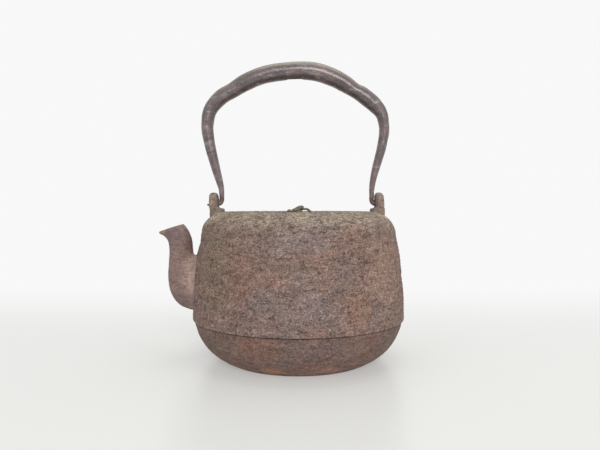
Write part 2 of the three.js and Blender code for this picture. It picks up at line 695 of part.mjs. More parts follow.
function knob() {
  const height = KNOB_TOP_Z - KNOB_FOOT_Z;
  const place = ([along, up, thick, deep]) => [
    along * KNOB_HALF_L,
    KNOB_FOOT_Z + up * height,
    thick * KNOB_HALF_D,
    deep * KNOB_HALF_D,
  ];
  const twig = ovalTube(TWIG.map(place), 20, 12);
  const loop = ovalTube(LOOP.map(place), 14, 8);
  const foot = rodAlongZ(KNOB_FOOT_R, KNOB_FOOT_Z, KNOB_FOOT_Z + height / 2, 20, KNOB_NECK_R);
  const socketTop = KNOB_FOOT_Z + KNOB_PIN_IN_KNOB + SEAT_GAP;
  const socket = rodAlongZ(KNOB_PIN_R + SEAT_GAP, KNOB_FOOT_Z - SEAT_GAP, socketTop, 16);
  return foot.add(twig).add(loop).subtract(socket);
}

// A flat ring about +Z, resting at a height.
function washer(outerR, innerR, bottomZ, thickness) {
  const topZ = bottomZ + thickness;
  const edge = thickness * 0.3;
  const profile = [
    [innerR, bottomZ],
    [outerR, bottomZ],
    [outerR, topZ - edge],
    [outerR - edge, topZ],
    [innerR, topZ],
  ];
  return turned(profile, 26);
}

const BURR_TOP_Z = LID_BOTTOM_Z + LID_DOME * 0.8 - SEAT_GAP;

function knobPin() {
  const headTop = BURR_TOP_Z - BURR_T - SEAT_GAP;
  const headBottom = headTop - KNOB_PIN_HEAD_T;
  return turned([
    [0, headBottom],
    [KNOB_PIN_HEAD_R * 0.6, headBottom],
    [KNOB_PIN_HEAD_R, headTop - KNOB_PIN_HEAD_T * 0.4],
    [KNOB_PIN_HEAD_R, headTop],
    [KNOB_PIN_R, headTop],
    [KNOB_PIN_R, KNOB_FOOT_Z + KNOB_PIN_IN_KNOB],
    [0, KNOB_FOOT_Z + KNOB_PIN_IN_KNOB],
  ], 16);
}

// Assembly

const kettle = new THREE.Group();
const spoutHole = spigotBlock(SPIGOT_STEP - SEAT_GAP, -10 * SHELL_WALL, 4 * SHELL_WALL);
const shell = upperShell().subtract(spoutHole).subtract(tenon(-1, SEAT_GAP)).subtract(tenon(1, SEAT_GAP));
const seatWasher = washer(WASHER_R, KNOB_PIN_R + SEAT_GAP, LID_FLAT_Z + SEAT_GAP, WASHER_T);
const burr = washer(BURR_R, KNOB_PIN_R + SEAT_GAP, BURR_TOP_Z - BURR_T, BURR_T);
kettle.add(part("upper_shell", shell));
kettle.add(part("bottom_bowl", bottomBowl()));
kettle.add(part("spout", spout()));
kettle.add(part("spout_side_lug", lug(-1)));
kettle.add(part("far_side_lug", lug(1)));
kettle.add(part("bail_handle", handle(), FORGED_IRON, 0.6, 0.5));
kettle.add(part("lid", lid(), LID_BRONZE, 0.75, 0.5));
kettle.add(part("knob", knob(), KNOB_BRONZE, 0.7, 0.6));
kettle.add(part("knob_seat", seatWasher, KNOB_BRONZE, 0.7, 0.6));
kettle.add(part("knob_burr", burr, KNOB_BRONZE, 0.7, 0.6));
kettle.add(part("knob_pin", knobPin(), KNOB_BRONZE, 0.7, 0.6));

export default kettle;
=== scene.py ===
"""Dress a cast iron kettle: its rusty castings, its forged handle and its small bronze lid.

Lengths are in metres, in the frame of the construction model: +Z up, the spout along -X, and the
origin at the centre of the flat base. Each sub-assembly is a class that holds its sizes, builds its
meshes with bmesh operators and dresses them. Each finish is a frozen dataclass that builds its nodes.
"""

import logging
import math
from dataclasses import dataclass
from enum import Enum
from typing import Any, Callable, Dict, List, Optional, Sequence, Tuple, Union

import bmesh
import bpy
from bpy.types import Material, Mesh, Node, NodeSocket, Object, World
from mathutils import Matrix, Vector, noise

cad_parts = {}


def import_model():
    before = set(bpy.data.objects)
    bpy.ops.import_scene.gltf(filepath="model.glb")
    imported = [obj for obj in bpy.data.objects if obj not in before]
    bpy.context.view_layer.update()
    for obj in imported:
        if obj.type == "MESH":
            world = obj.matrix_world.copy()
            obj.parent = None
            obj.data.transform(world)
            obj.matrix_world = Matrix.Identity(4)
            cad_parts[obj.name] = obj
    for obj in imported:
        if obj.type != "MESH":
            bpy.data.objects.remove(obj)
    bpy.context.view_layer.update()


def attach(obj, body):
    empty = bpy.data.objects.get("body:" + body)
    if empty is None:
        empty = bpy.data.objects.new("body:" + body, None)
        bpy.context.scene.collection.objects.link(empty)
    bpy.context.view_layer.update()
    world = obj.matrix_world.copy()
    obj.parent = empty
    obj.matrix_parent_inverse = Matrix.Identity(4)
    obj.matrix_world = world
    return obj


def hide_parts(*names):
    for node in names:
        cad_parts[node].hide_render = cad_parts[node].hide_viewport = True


log = logging.getLogger("kettle")

MM = 0.001
Numbers = Sequence[float]
Pair = Tuple[float, float]
Triple = Tuple[float, float, float]
Ring = Callable[[float], Vector]
Sockets = Dict[Union[int, str], Any]


# Shader graph


class Value:
    """A number that changes over a surface: a socket on which Python's operators add Math nodes."""

    def __init__(self, graph: "Graph", socket: NodeSocket) -> None:
        """Wrap one output socket of a graph."""
        self.graph = graph
        self.socket = socket

    def _math(self, operation: str, left: Any, right: Any) -> "Value":
        """The result of a Math node on two values."""
        return self.graph.value("ShaderNodeMath", 0, {0: left, 1: right}, operation=operation)

    def __add__(self, other: Any) -> "Value":
        """Sum with a number or a value."""
        return self._math("ADD", self, other)

    __radd__ = __add__

    def __sub__(self, other: Any) -> "Value":
        """Difference from a number or a value."""
        return self._math("SUBTRACT", self, other)

    def __rsub__(self, other: Any) -> "Value":
        """Difference of a number and this value."""
        return self._math("SUBTRACT", other, self)

    def __mul__(self, other: Any) -> "Value":
        """Product with a number or a value."""
        return self._math("MULTIPLY", self, other)

    __rmul__ = __mul__

    def at_most(self, other: Any) -> "Value":
        """The lower of this and another."""
        return self._math("MINIMUM", self, other)

    def at_least(self, other: Any) -> "Value":
        """The higher of this and another."""
        return self._math("MAXIMUM", self, other)

    def band(self, low: float, high: float) -> "Value":
        """A smooth step that rises from 0 at low to 1 at high, or falls where low is the higher."""
        ends = {"Value": self, "From Min": min(low, high), "From Max": max(low, high)}
        settings = {"interpolation_type": "SMOOTHSTEP", "clamp": True}
        risen = self.graph.value("ShaderNodeMapRange", "Result", ends, **settings)
        return 1 - risen if low > high else risen


class Graph:
    """The node tree of a material or a world, emptied and built anew."""

    def __init__(self, owner: Union[Material, World]) -> None:
        """Take up the owner's tree."""
        owner.use_nodes = True
        self.tree = owner.node_tree
        self.tree.nodes.clear()

    def node(self, kind: str, sockets: Optional[Sockets] = None, **settings: Any) -> Node:
        """Add a node.

        Args:
            kind: The node's type.
            sockets: The value or link of each of its inputs, by name or number.
            settings: Its own settings, which are set first.

        Returns:
            The new node.
        """
        made = self.tree.nodes.new(kind)
        for key, value in settings.items():
            setattr(made, key, value)
        for key, value in (sockets or {}).items():
            self._feed(made.inputs[key], value)
        return made

    def _feed(self, socket: NodeSocket, value: Any) -> None:
        """Link a value or a socket to an input, or set the input to a constant."""
        source = value.socket if isinstance(value, Value) else value
        if isinstance(source, NodeSocket):
            self.tree.links.new(source, socket)
        elif isinstance(source, tuple) and len(source) == 3 and socket.type == "RGBA":
            socket.default_value = (*source, 1)
        else:
            socket.default_value = source

    def value(
        self, kind: str, output: Union[int, str], sockets: Optional[Sockets] = None, **settings: Any
    ) -> Value:
        """One output of a new node, as a value."""
        return Value(self, self.node(kind, sockets, **settings).outputs[output])

    def end(self, output: str, share: Value, low: Node, high: Node) -> None:
        """End the tree in two mixed shaders.

        Args:
            output: The type of the output node.
            share: 0 gives the low shader and 1 the high one.
            low: A shader's node.
            high: A shader's node.
        """
        both = self.node("ShaderNodeMixShader", {0: share, 1: low.outputs[0], 2: high.outputs[0]})
        self.node(output, {"Surface": both.outputs[0]})


class Skin(Graph):
    """The node tree of one material, read on Object coordinates and on the mesh's own attributes."""

    def __init__(self, name: str) -> None:
        """Make an empty material with this name."""
        self.material = bpy.data.materials.new(name)
        super().__init__(self.material)
        self.place = self.node("ShaderNodeTexCoord").outputs["Object"]

    def attribute(self, name: str) -> Value:
        """The value of one of the mesh's own attributes."""
        return self.value("ShaderNodeAttribute", "Fac", attribute_name=name)

    def coordinate(self, axis: int) -> Value:
        """The position along one axis: 0, 1 or 2 for X, Y or Z."""
        return self.value("ShaderNodeSeparateXYZ", axis, {0: self.place})

    def length(self, vector: NodeSocket) -> Value:
        """How long a vector is."""
        return self.value("ShaderNodeVectorMath", "Value", {0: vector}, operation="LENGTH")

    def _mapped(self, scale: Numbers, location: Numbers) -> NodeSocket:
        """Object coordinates, scaled and then moved."""
        sockets = {"Vector": self.place, "Scale": scale, "Location": location}
        return self.node("ShaderNodeMapping", sockets).outputs[0]

    def clouds(
        self, size: float, detail: float, rough: float, stretch: Numbers, shift: float, warp: float = 0.0
    ) -> Value:
        """Add cloudy noise.

        Args:
            size: The size of its features.
            detail: How many finer layers it has.
            rough: How strong the finer layers are.
            stretch: How far it is drawn out along each axis.
            shift: Moves it, so that two patterns differ.
            warp: How far it is swirled.

        Returns:
            The noise, mostly from 0.3 to 0.7.
        """
        scale = [1 / (size * s) for s in stretch]
        place = self._mapped(scale, (shift, shift * 1.7, shift * 0.6))
        sockets = {"Vector": place, "Scale": 1.0, "Detail": detail, "Roughness": rough, "Distortion": warp}
        return self.value("ShaderNodeTexNoise", 0, sockets, noise_dimensions="3D")

    def mix(self, share: Any, low: Any, high: Any, blend: str = "MIX") -> NodeSocket:
        """Blend two colours.

        Args:
            share: 0 gives the low colour and 1 the high one.
            low: A colour or a link.
            high: A colour or a link.
            blend: The kind of blend.

        Returns:
            The blended colour.
        """
        sockets = {0: share, 6: low, 7: high}
        return self.node("ShaderNodeMix", sockets, data_type="RGBA", blend_type=blend).outputs[2]

    def paint(self, base: Triple, *coats: Tuple[Value, Triple]) -> Union[Triple, NodeSocket]:
        """Lay coats over a base colour.

        Args:
            base: The base colour.
            coats: How much of each coat shows, and its colour.

        Returns:
            The colour of them all.
        """
        tone = base
        for share, colour in coats:
            tone = self.mix(share, tone, colour)
        return tone

    def shade(self, colour: Any, factor: Value) -> NodeSocket:
        """Multiply a colour by a number."""
        return self.mix(1.0, colour, factor, "MULTIPLY")

    def stain_or_highlight(self, stain_or_highlight: "StainOrHighlight", ragged: Value) -> Value:
        """Where a stained patch or a painted highlight lies: 1 over its middle and 0 outside its ragged
        edge.

        Args:
            stain_or_highlight: A stained patch or a painted highlight.
            ragged: Noise that frays its edge.

        Returns:
            How strongly the surface takes its colour.
        """
        scale = [1 / (reach * MM) for reach in stain_or_highlight.reach]
        location = [-centre * MM * size for centre, size in zip(stain_or_highlight.centre, scale)]
        away = self.length(self._mapped(scale, location))
        return (away + (ragged - 0.5) * 2.2).band(1.25, 0.35) * stain_or_highlight.share

    def finish(
        self, colour: Any, roughness: Any, metallic: Any, height: Value, depth: float, specular: float = 0.5
    ) -> Material:
        """End the tree in a surface.

        Args:
            colour: The base colour.
            roughness: The roughness.
            metallic: How metallic it is.
            height: The fine relief, from 0 to 1.
            depth: How deep that relief is.
            specular: The strength of its reflections.

        Returns:
            The finished material.
        """
        bump = self.node("ShaderNodeBump", {"Height": height, "Distance": depth, "Strength": 1.0})
        sockets = {
            "Base Color": colour,
            "Roughness": roughness,
            "Metallic": metallic,
            "Normal": bump.outputs[0],
            "Specular IOR Level": specular,
        }
        shader = self.node("ShaderNodeBsdfPrincipled", sockets)
        self.node("ShaderNodeOutputMaterial", {"Surface": shader.outputs[0]})
        return self.material


# Finishes


@dataclass(frozen=True)
class StainOrHighlight:
    """A soft patch of another colour in one place on a casting, with its centre and reach in mm: a stained
    patch, or a painted highlight.
    """

    centre: Triple
    reach: Triple
    colour: Triple
    share: float = 0.5


@dataclass(frozen=True)
class RustedCasting:
    """Old cast iron under a skin of rust, with dust where it faces up, dark pits and painted shading over
    its folds.
    """

    name: str
    base: Triple
    warm: Triple
    cool: Triple
    fleck: Triple
    pit: Triple
    dust: Triple
    stains_and_highlights: Tuple[StainOrHighlight, ...] = ()
    dust_share: float = 0.75
    patch_size: float = 15 * MM
    fleck_size: float = 0.95 * MM
    fleck_share: float = 0.38
    fold_size: float = 5 * MM
    fold_share: float = 0.2
    contrast: float = 1.2
    warm_share: float = 0.5
    cool_share: float = 0.5
    relief_share: float = 0.5
    roughness: float = 0.8
    grain_depth: float = 0.34 * MM

    def build(self) -> Material:
        """Build the material's nodes and return it."""
        g = Skin(self.name)
        relief = g.attribute("relief")
        patches = g.clouds(self.patch_size, 4, 0.6, (1.5, 1.5, 1), 3.1, 0.6)
        greys = g.clouds(self.patch_size * 1.6, 3, 0.55, (1, 1, 1), 11.7, 0.4)
        mottle = g.clouds(self.fleck_size * 2.6, 3, 0.65, (1.6, 1.6, 0.9), 5.3, 0.5)
        fine = g.clouds(self.fleck_size, 3, 0.8, (1.3, 1.3, 1), 7.9)
        folds = g.clouds(self.fold_size, 4, 0.6, (2.6, 2.6, 0.8), 13.3, 1.1)
        upward = g.attribute("crown").band(0.2, 0.9)
        raised = relief.band(0.5, 0.95) * 0.3 + folds.band(0.54, 0.68) * 0.3 + fine.band(0.56, 0.7)
        tone = g.paint(
            self.base,
            (patches.band(0.44, 0.62) * self.warm_share, self.warm),
            (greys.band(0.5, 0.64) * self.cool_share, self.cool),
            *((g.stain_or_highlight(stain_or_highlight, patches), stain_or_highlight.colour) for stain_or_highlight in self.stains_and_highlights),
            (upward * (mottle.band(0.3, 0.6) * 0.5 + 0.5) * self.dust_share, self.dust),
            (mottle.band(0.5, 0.3) * 0.4, self.pit),
            (folds.band(0.47, 0.34) * self.fold_share, self.pit),
            (relief.band(0.5, 0.1) * self.relief_share, self.pit),
            ((raised * self.fleck_share).at_most(1.0), self.fleck),
        )
        # Painted shading of the folds: the folds term darkens their hollows and lightens their crests; the
        # fine and mottle terms are the rust's own speckle.
        speckle_and_fold_shade = ((fine - 0.5) * 3.0 + (mottle - 0.5) * 0.9) * (upward * 0.25 + 1) + (folds - 0.5) * 0.8
        tone = g.shade(tone, (speckle_and_fold_shade * self.contrast + 1).at_least(0.25))
        roughness = self.roughness + (fine - 0.5) * 0.3
        height = fine * 0.5 + mottle * 0.4 + folds * 0.8
        return g.finish(tone, roughness, 0.0, height, self.grain_depth, 0.3)


@dataclass(frozen=True)
class ForgedIron:
    """Hammered iron that hands have burnished, with painted sheen in patches, dark below and dusty above."""

    name: str
    base: Triple
    warm: Triple
    sheen: Triple
    dust: Triple
    warm_height: float = 160 * MM
    warm_fade: float = 35 * MM
    dust_share: float = 0.7
    roughness: float = 0.3
    metallic: float = 0.45
    grain_depth: float = 0.12 * MM

    def build(self) -> Material:
        """Build the material's nodes and return it."""
        g = Skin(self.name)
        patches = g.clouds(9 * MM, 4, 0.6, (1.6, 1, 1.2), 2.3, 0.5)
        worn_and_sheen = g.clouds(4 * MM, 4, 0.65, (2.5, 1, 1), 8.1, 0.3)
        fine = g.clouds(0.9 * MM, 3, 0.7, (1, 1, 1), 4.4)
        lower = g.coordinate(2).band(self.warm_height, self.warm_height - self.warm_fade)
        upward = g.attribute("crown").band(0.1, 0.75)
        tone = g.paint(
            self.base,
            (patches.band(0.42, 0.66) * 0.75, self.warm),
            (lower * 0.6, self.warm),
            # Painted sheen: patches of the lighter sheen colour, on the iron's burnished wear.
            (worn_and_sheen.band(0.52, 0.72) * 0.6, self.sheen),
            (upward * (worn_and_sheen.band(0.3, 0.6) * 0.3 + 0.7) * self.dust_share, self.dust),
        )
        tone = g.shade(tone, (fine - 0.5) * 1.1 + (worn_and_sheen - 0.5) * 0.6 + 1)
        roughness = self.roughness + (worn_and_sheen - 0.5) * 0.5 + (fine - 0.5) * 0.25
        metallic = (1 - lower * 0.8) * self.metallic
        height = fine * 0.5 + worn_and_sheen * 0.5
        return g.finish(tone, roughness, metallic, height, self.grain_depth)


@dataclass(frozen=True)
class OldBronze:
    """Cast bronze with a grey green patina over brown metal."""

    name: str
    metal: Triple
    patina: Triple
    dark: Triple
    patina_share: float = 0.7
    roughness: float = 0.5
    metallic: float = 0.55
    grain_depth: float = 0.08 * MM

    def build(self) -> Material:
        """Build the material's nodes and return it."""
        g = Skin(self.name)
        cloud = g.clouds(6 * MM, 5, 0.65, (1, 1, 1), 1.9, 0.8)
        fine = g.clouds(0.8 * MM, 3, 0.7, (1, 1, 1), 6.2)
        covered = (cloud.band(0.4, 0.62) * self.patina_share).at_most(1.0)
        tone = g.paint(
            self.metal,
            (covered, self.patina),
            (g.attribute("relief").band(0.4, 0.0) * 0.6, self.dark),
            (fine.band(0.48, 0.3) * 0.4, self.dark),
        )
        roughness = self.roughness + covered * 0.25 + (fine - 0.5) * 0.2
        metallic = self.metallic - covered * (self.metallic * 0.8)
        return g.finish(tone, roughness, metallic, fine, self.grain_depth)


SHELL_FINISH = RustedCasting(
    name="shell_rust",
    base=(0.20, 0.136, 0.112),
    warm=(0.265, 0.148, 0.118),
    cool=(0.222, 0.168, 0.163),
    fleck=(0.42, 0.33, 0.275),
    pit=(0.085, 0.055, 0.045),
    dust=(0.36, 0.305, 0.225),
    stains_and_highlights=(
        StainOrHighlight((-57, -48, 72), (17, 60, 36), (0.205, 0.145, 0.10), 0.6),
        # Painted highlights: pale tan bands on the shoulder where each lug's root meets it.
        StainOrHighlight((-60, -15, 104), (9, 14, 6), (0.46, 0.385, 0.295), 0.6),
        StainOrHighlight((58, -15, 104), (9, 14, 6), (0.46, 0.385, 0.295), 0.6),
        StainOrHighlight((-38, -65, 66), (12, 40, 22), (0.255, 0.135, 0.108)),
        StainOrHighlight((4, -70, 90), (24, 40, 13), (0.245, 0.195, 0.195)),
        StainOrHighlight((-4, -75, 50), (32, 40, 20), (0.207, 0.152, 0.15)),
        StainOrHighlight((-16, -74, 65), (14, 30, 5), (0.28, 0.148, 0.118)),
        StainOrHighlight((38, -66, 42), (14, 40, 18), (0.27, 0.138, 0.09), 0.5),
        StainOrHighlight((58, -50, 68), (17, 60, 28), (0.33, 0.205, 0.155), 0.6),
    ),
)
BASE_FINISH = RustedCasting(
    name="base_rust",
    base=(0.165, 0.106, 0.09),
    warm=(0.22, 0.115, 0.085),
    cool=(0.15, 0.12, 0.118),
    fleck=(0.33, 0.23, 0.18),
    pit=(0.085, 0.055, 0.05),
    dust=(0.22, 0.16, 0.12),
    stains_and_highlights=(
        StainOrHighlight((-22, -65, 23), (22, 30, 8), (0.215, 0.112, 0.083)),
        StainOrHighlight((10, -68, 20), (18, 30, 12), (0.14, 0.102, 0.104), 0.6),
        StainOrHighlight((-17, -56, 5), (8, 20, 3), (0.42, 0.19, 0.11), 0.75),
        StainOrHighlight((20, -56, 6), (8, 20, 3), (0.40, 0.20, 0.13), 0.7),
        StainOrHighlight((-58, -40, 22), (16, 50, 12), (0.15, 0.105, 0.08)),
    ),
    fleck_share=0.3,
    contrast=1.0,
    dust_share=0.2,
    relief_share=0.35,
    grain_depth=0.18 * MM,
)
SPOUT_FINISH = RustedCasting(
    name="spout_skin",
    base=(0.25, 0.165, 0.148),
    warm=(0.29, 0.19, 0.155),
    cool=(0.22, 0.165, 0.17),
    fleck=(0.40, 0.31, 0.25),
    pit=(0.11, 0.075, 0.07),
    dust=(0.38, 0.29, 0.22),
    stains_and_highlights=(
        StainOrHighlight((-78, 0, 64), (7, 60, 19), (0.45, 0.315, 0.255), 0.9),
        StainOrHighlight((-90, 0, 90), (11, 40, 9), (0.15, 0.105, 0.115), 0.7),
        StainOrHighlight((-103, 0, 95), (6, 30, 3.5), (0.40, 0.24, 0.14), 0.8),
        StainOrHighlight((-86, 0, 40), (13, 40, 12), (0.175, 0.115, 0.105), 0.7),
    ),
    fleck_share=0.22,
    contrast=0.6,
    dust_share=0.6,
    relief_share=0.35,
    roughness=0.68,
    grain_depth=0.12 * MM,
)
LUG_FINISH = RustedCasting(
    name="lug_rust",
    base=(0.255, 0.19, 0.16),
    warm=(0.34, 0.215, 0.175),
    cool=(0.23, 0.20, 0.19),
    fleck=(0.42, 0.35, 0.28),
    pit=(0.11, 0.075, 0.06),
    dust=(0.32, 0.28, 0.21),
    patch_size=5 * MM,
    fleck_share=0.3,
    contrast=0.8,
    warm_share=0.7,
    grain_depth=0.25 * MM,
)
HANDLE_FINISH = ForgedIron(
    name="forged_iron",
    base=(0.125, 0.102, 0.104),
    warm=(0.205, 0.145, 0.137),
    sheen=(0.34, 0.30, 0.30),
    dust=(0.235, 0.215, 0.165),
)
LID_FINISH = OldBronze(
    name="lid_bronze",
    metal=(0.19, 0.13, 0.075),
    patina=(0.24, 0.22, 0.15),
    dark=(0.07, 0.055, 0.04),
)
KNOB_FINISH = OldBronze(
    name="knob_bronze",
    metal=(0.17, 0.14, 0.09),
    patina=(0.20, 0.19, 0.135),
    dark=(0.05, 0.04, 0.03),
)


# Mesh tools


def clamp(number: float, low: float = 0.0, high: float = 1.0) -> float:
    """Keep a number between two others."""
    return min(max(number, low), high)


class Outline:
    """A line of (radius, height, skin) points for turning. Skin is how much relief the surface takes."""

    def __init__(self, spacing: float) -> None:
        """Start an empty outline whose points are at most this far apart."""
        self.spacing = spacing
        self.points: List[Triple] = []

    def path(self, *points: Triple, spacing: Optional[float] = None) -> None:
        """Draw straight from point to point.

        Args:
            points: The points to go to.
            spacing: The most that the line's points may be apart, where it differs from the outline's.
        """
        for point in points:
            start = self.points[-1] if self.points else point
            steps = max(1, math.ceil(math.dist(start[:2], point[:2]) / (spacing or self.spacing)))
            for i in range(1, steps + 1):
                self.points.append(tuple(a + (b - a) * (i / steps) for a, b in zip(start, point)))

    def arc(
        self,
        centre: Pair,
        radius: float,
        start: float,
        end: float,
        skin: float,
        spacing: Optional[float] = None,
    ) -> None:
        """Draw a circular arc, after a straight stretch to its start.

        Args:
            centre: The arc's centre, as radius and height.
            radius: The arc's own radius.
            start: The angle it starts at, in radians.
            end: The angle it ends at.
            skin: How much relief it takes.
            spacing: The most that its points may be apart, where it differs from the outline's.
        """
        steps = max(2, math.ceil(abs(end - start) * radius / (spacing or self.spacing)))
        for i in range(steps + 1):
            angle = start + (end - start) * i / steps
            point = (centre[0] + radius * math.cos(angle), centre[1] + radius * math.sin(angle), skin)
            if i:
                self.points.append(point)
            else:
                self.path(point, spacing=spacing)


SWIRL_SHIFTS = ((9.3, -1.5, -8.0), (0.0, 4.7, 13.1), (6.3, 11.2, -2.4))


@dataclass(frozen=True)
class Relief:
    """The unevenness of a surface, cut inwards from its true face.

    Lumps cover it, swirled by a slower noise, with ropes drawn between them, grains over them and a slow
    swell below.
    """

    depth: float
    lump: float
    grain: float
    ropes: float = 0.0
    grain_share: float = 0.3
    swell: float = 0.0
    level: float = 0.62
    lump_share: float = 0.42

    def at(self, point: Vector) -> float:
        """The relief at a point: 0 in the deepest pits and 1 on the true face."""
        place = point / (self.lump * 3.5)
        swirl = Vector([noise.noise(place + Vector(shift)) for shift in SWIRL_SHIFTS]) * self.lump * 1.4
        level = self.level + self.lump_share * noise.fractal((point + swirl) / self.lump, 0.8, 2.1, 3)
        if self.ropes:
            drawn = Vector((point.x, point.y, point.z * 2.1)) + swirl * 1.2
            ridge = 1 - abs(noise.noise(drawn / (self.lump * 0.8))) * 2.6
            where = 0.5 + 0.9 * noise.noise(point / (self.lump * 6) + Vector((3, 7, 1)))
            level += self.ropes * (ridge - 0.45) * clamp(where, 0.15)
        level += self.grain_share * noise.fractal(point / self.grain, 0.5, 2.3, 2)
        if self.swell:
            level += self.swell * noise.noise(point / (self.lump * 9) + Vector((5, 2, 9)))
        return clamp(level)


PLAIN_RELIEF = Relief(depth=0.0, lump=5 * MM, grain=1 * MM)


def add_object(name: str, data: bpy.types.ID) -> Object:
    """Add an object with this data to the scene."""
    made = bpy.data.objects.new(name, data)
    bpy.context.scene.collection.objects.link(made)
    return made


def add_mesh(name: str, bm: bmesh.types.BMesh, material: Material) -> Object:
    """Add a bmesh to the scene as an object.

    Args:
        name: The object's name.
        bm: The bmesh, which is freed.
        material: Its material.

    Returns:
        The object.
    """
    mesh = bpy.data.meshes.new(name)
    bm.to_mesh(mesh)
    bm.free()
    mesh.materials.append(material)
    return add_object(name, mesh)


class Solid:
    """A bmesh under construction, with the steps that the pieces share."""

    def __init__(self, name: str, mesh: Optional[Mesh] = None) -> None:
        """Start a piece with this name, empty or from a finished mesh."""
        self.name = name
        self.bm = bmesh.new()
        if mesh:
            self.bm.from_mesh(mesh)
        layers = self.bm.verts.layers.float
        self.skin, self.angle, self.relief, self.crown = (
            layers.get(layer) or layers.new(layer) for layer in ("skin", "angle", "relief", "crown")
        )

    def turn(self, outline: Outline, steps: int, closed: bool = True) -> "Solid":
        """Turn an outline about the Z axis.

        Args:
            outline: The points to turn.
            steps: How many steps a full turn has.
            closed: Whether the outline's last point joins its first.

        Returns:
            The piece.
        """
        line = []
        for radius, height, skin in outline.points:
            vert = self.bm.verts.new((radius, 0, height))
            vert[self.skin] = skin
            line.append(vert)
        ends = line[1:] + line[:1] if closed else line[1:]
        edges = [self.bm.edges.new(pair) for pair in zip(line, ends)]
        bmesh.ops.spin(
            self.bm,
            geom=line + edges,
            axis=(0, 0, 1),
            angle=2 * math.pi,
            space=Matrix.Identity(4),
            steps=steps,
            use_merge=True,
        )
        return self.tidy()

    def loft(self, rings: Sequence[Ring], sides: int, looped: bool = False) -> "Solid":
        """Skin a row of rings.

        Args:
            rings: For each ring, what gives its point at an angle.
            sides: How many points a ring has.
            looped: Whether the last ring joins the first, or both ends are filled.

        Returns:
            The piece.
        """
        start = bmesh.ops.create_circle(self.bm, cap_ends=False, radius=1, segments=sides)["verts"]
        for vert in start:
            vert[self.angle] = math.atan2(vert.co.y, vert.co.x)
            vert[self.skin] = 1.0
        first = list(dict.fromkeys(edge for vert in start for edge in vert.link_edges))
        for vert in start:
            vert.co = rings[0](vert[self.angle])
        edges = first
        for ring in rings[1:]:
            made = bmesh.ops.extrude_edge_only(self.bm, edges=edges)["geom"]
            for vert in (v for v in made if isinstance(v, bmesh.types.BMVert)):
                vert.co = ring(vert[self.angle])
            edges = [
                e for e in made
                if isinstance(e, bmesh.types.BMEdge) and len(e.link_faces) == 1
            ]
        if looped:
            bmesh.ops.bridge_loops(self.bm, edges=first + edges)
        else:
            bmesh.ops.holes_fill(self.bm, edges=first + edges, sides=0)
        return self.tidy()

    def tidy(self) -> "Solid":
        """Merge doubles and point every face outwards."""
        bmesh.ops.remove_doubles(self.bm, verts=self.bm.verts, dist=1e-6)
        bmesh.ops.recalc_face_normals(self.bm, faces=self.bm.faces)
        return self

    def roughen(self, relief: Relief) -> "Solid":
        """Cut the relief into the surface, and note it and the upward slope at each point."""
        self.bm.normal_update()
        moves = []
        for vert in self.bm.verts:
            level = relief.at(vert.co)
            vert[self.relief] = level if vert[self.skin] > 0.05 else 0.6
            vert[self.crown] = max(0.0, vert.normal.z)
            moves.append(vert.normal * ((level - 1) * relief.depth) * vert[self.skin])
        for vert, move in zip(self.bm.verts, moves):
            vert.co += move
        return self

    @classmethod
    def again(cls, piece: Object) -> "Solid":
        """Take a finished object up again for more work, and remove the object."""
        made = cls(piece.name, piece.data)
        bpy.data.objects.remove(piece)
        return made

    def finish(self, material: Material) -> Object:
        """End the piece as a smooth shaded object with its material."""
        for face in self.bm.faces:
            face.smooth = True
        return add_mesh(self.name, self.bm, material)

    def cutter(self) -> Object:
        """End the piece as a solid that is only cut out of others."""
        return self.finish(bpy.data.materials.new("hole"))


def carve(piece: Object, cutter: Object) -> None:
    """Cut one object's solid out of another's mesh, and remove the cutter.

    Args:
        piece: The object that is cut.
        cutter: The object whose solid is taken away.
    """
    cut = piece.modifiers.new("cut", "BOOLEAN")
    cut.operation = "DIFFERENCE"
    cut.solver = "EXACT"
    cut.object = cutter
    graph = bpy.context.evaluated_depsgraph_get()
    result = bpy.data.meshes.new_from_object(piece.evaluated_get(graph))
    piece.modifiers.remove(cut)
    old = piece.data
    piece.data = result
    bpy.data.meshes.remove(old)
    bpy.data.objects.remove(cutter)


def smooth_row(rows: Sequence[Numbers], t: float) -> List[float]:
    """Read a row of numbers between others along a smooth curve.

    Args:
        rows: Rows of equal length, one a station.
        t: The place among them, from 0 at the first to 1 at the last.

    Returns:
        The row there.
    """
    place = clamp(t) * (len(rows) - 1)
    i = min(int(place), len(rows) - 2)
    u = place - i
    before = rows[max(i - 1, 0)]
    after = rows[min(i + 2, len(rows) - 1)]
    result = []
    for a, b, c, d in zip(before, rows[i], rows[i + 1], after):
        lean_b = (c - a) / 2
        lean_c = (d - b) / 2
        bend = (2 * u**3 - 3 * u**2 + 1) * b + (u**3 - 2 * u**2 + u) * lean_b
        result.append(bend + (3 * u**2 - 2 * u**3) * c + (u**3 - u**2) * lean_c)
    return result


def oval(centre: Vector, first: Vector, second: Vector) -> Ring:
    """Give the point at an angle of an oval ring with these two half axes."""
    return lambda angle: centre + first * math.cos(angle) + second * math.sin(angle)


def tube_ring(row: Numbers, behind: Numbers, ahead: Numbers, inset: float = 0.0) -> Ring:
    """Give the oval ring that stands across a tube in the XZ plane.

    Args:
        row: X, Z, the half thickness in that plane and the half depth along Y.
        behind: A row before it.
        ahead: A row after it.
        inset: How far the ring is drawn in.

    Returns:
        What gives its point at an angle.
    """
    x, z, thick, deep = row
    along = Vector((ahead[0] - behind[0], 0, ahead[1] - behind[1])).normalized()
    out = Vector((-along.z, 0, along.x))
    return oval(Vector((x, 0, z)), out * (thick - inset), Vector((0, deep - inset, 0)))


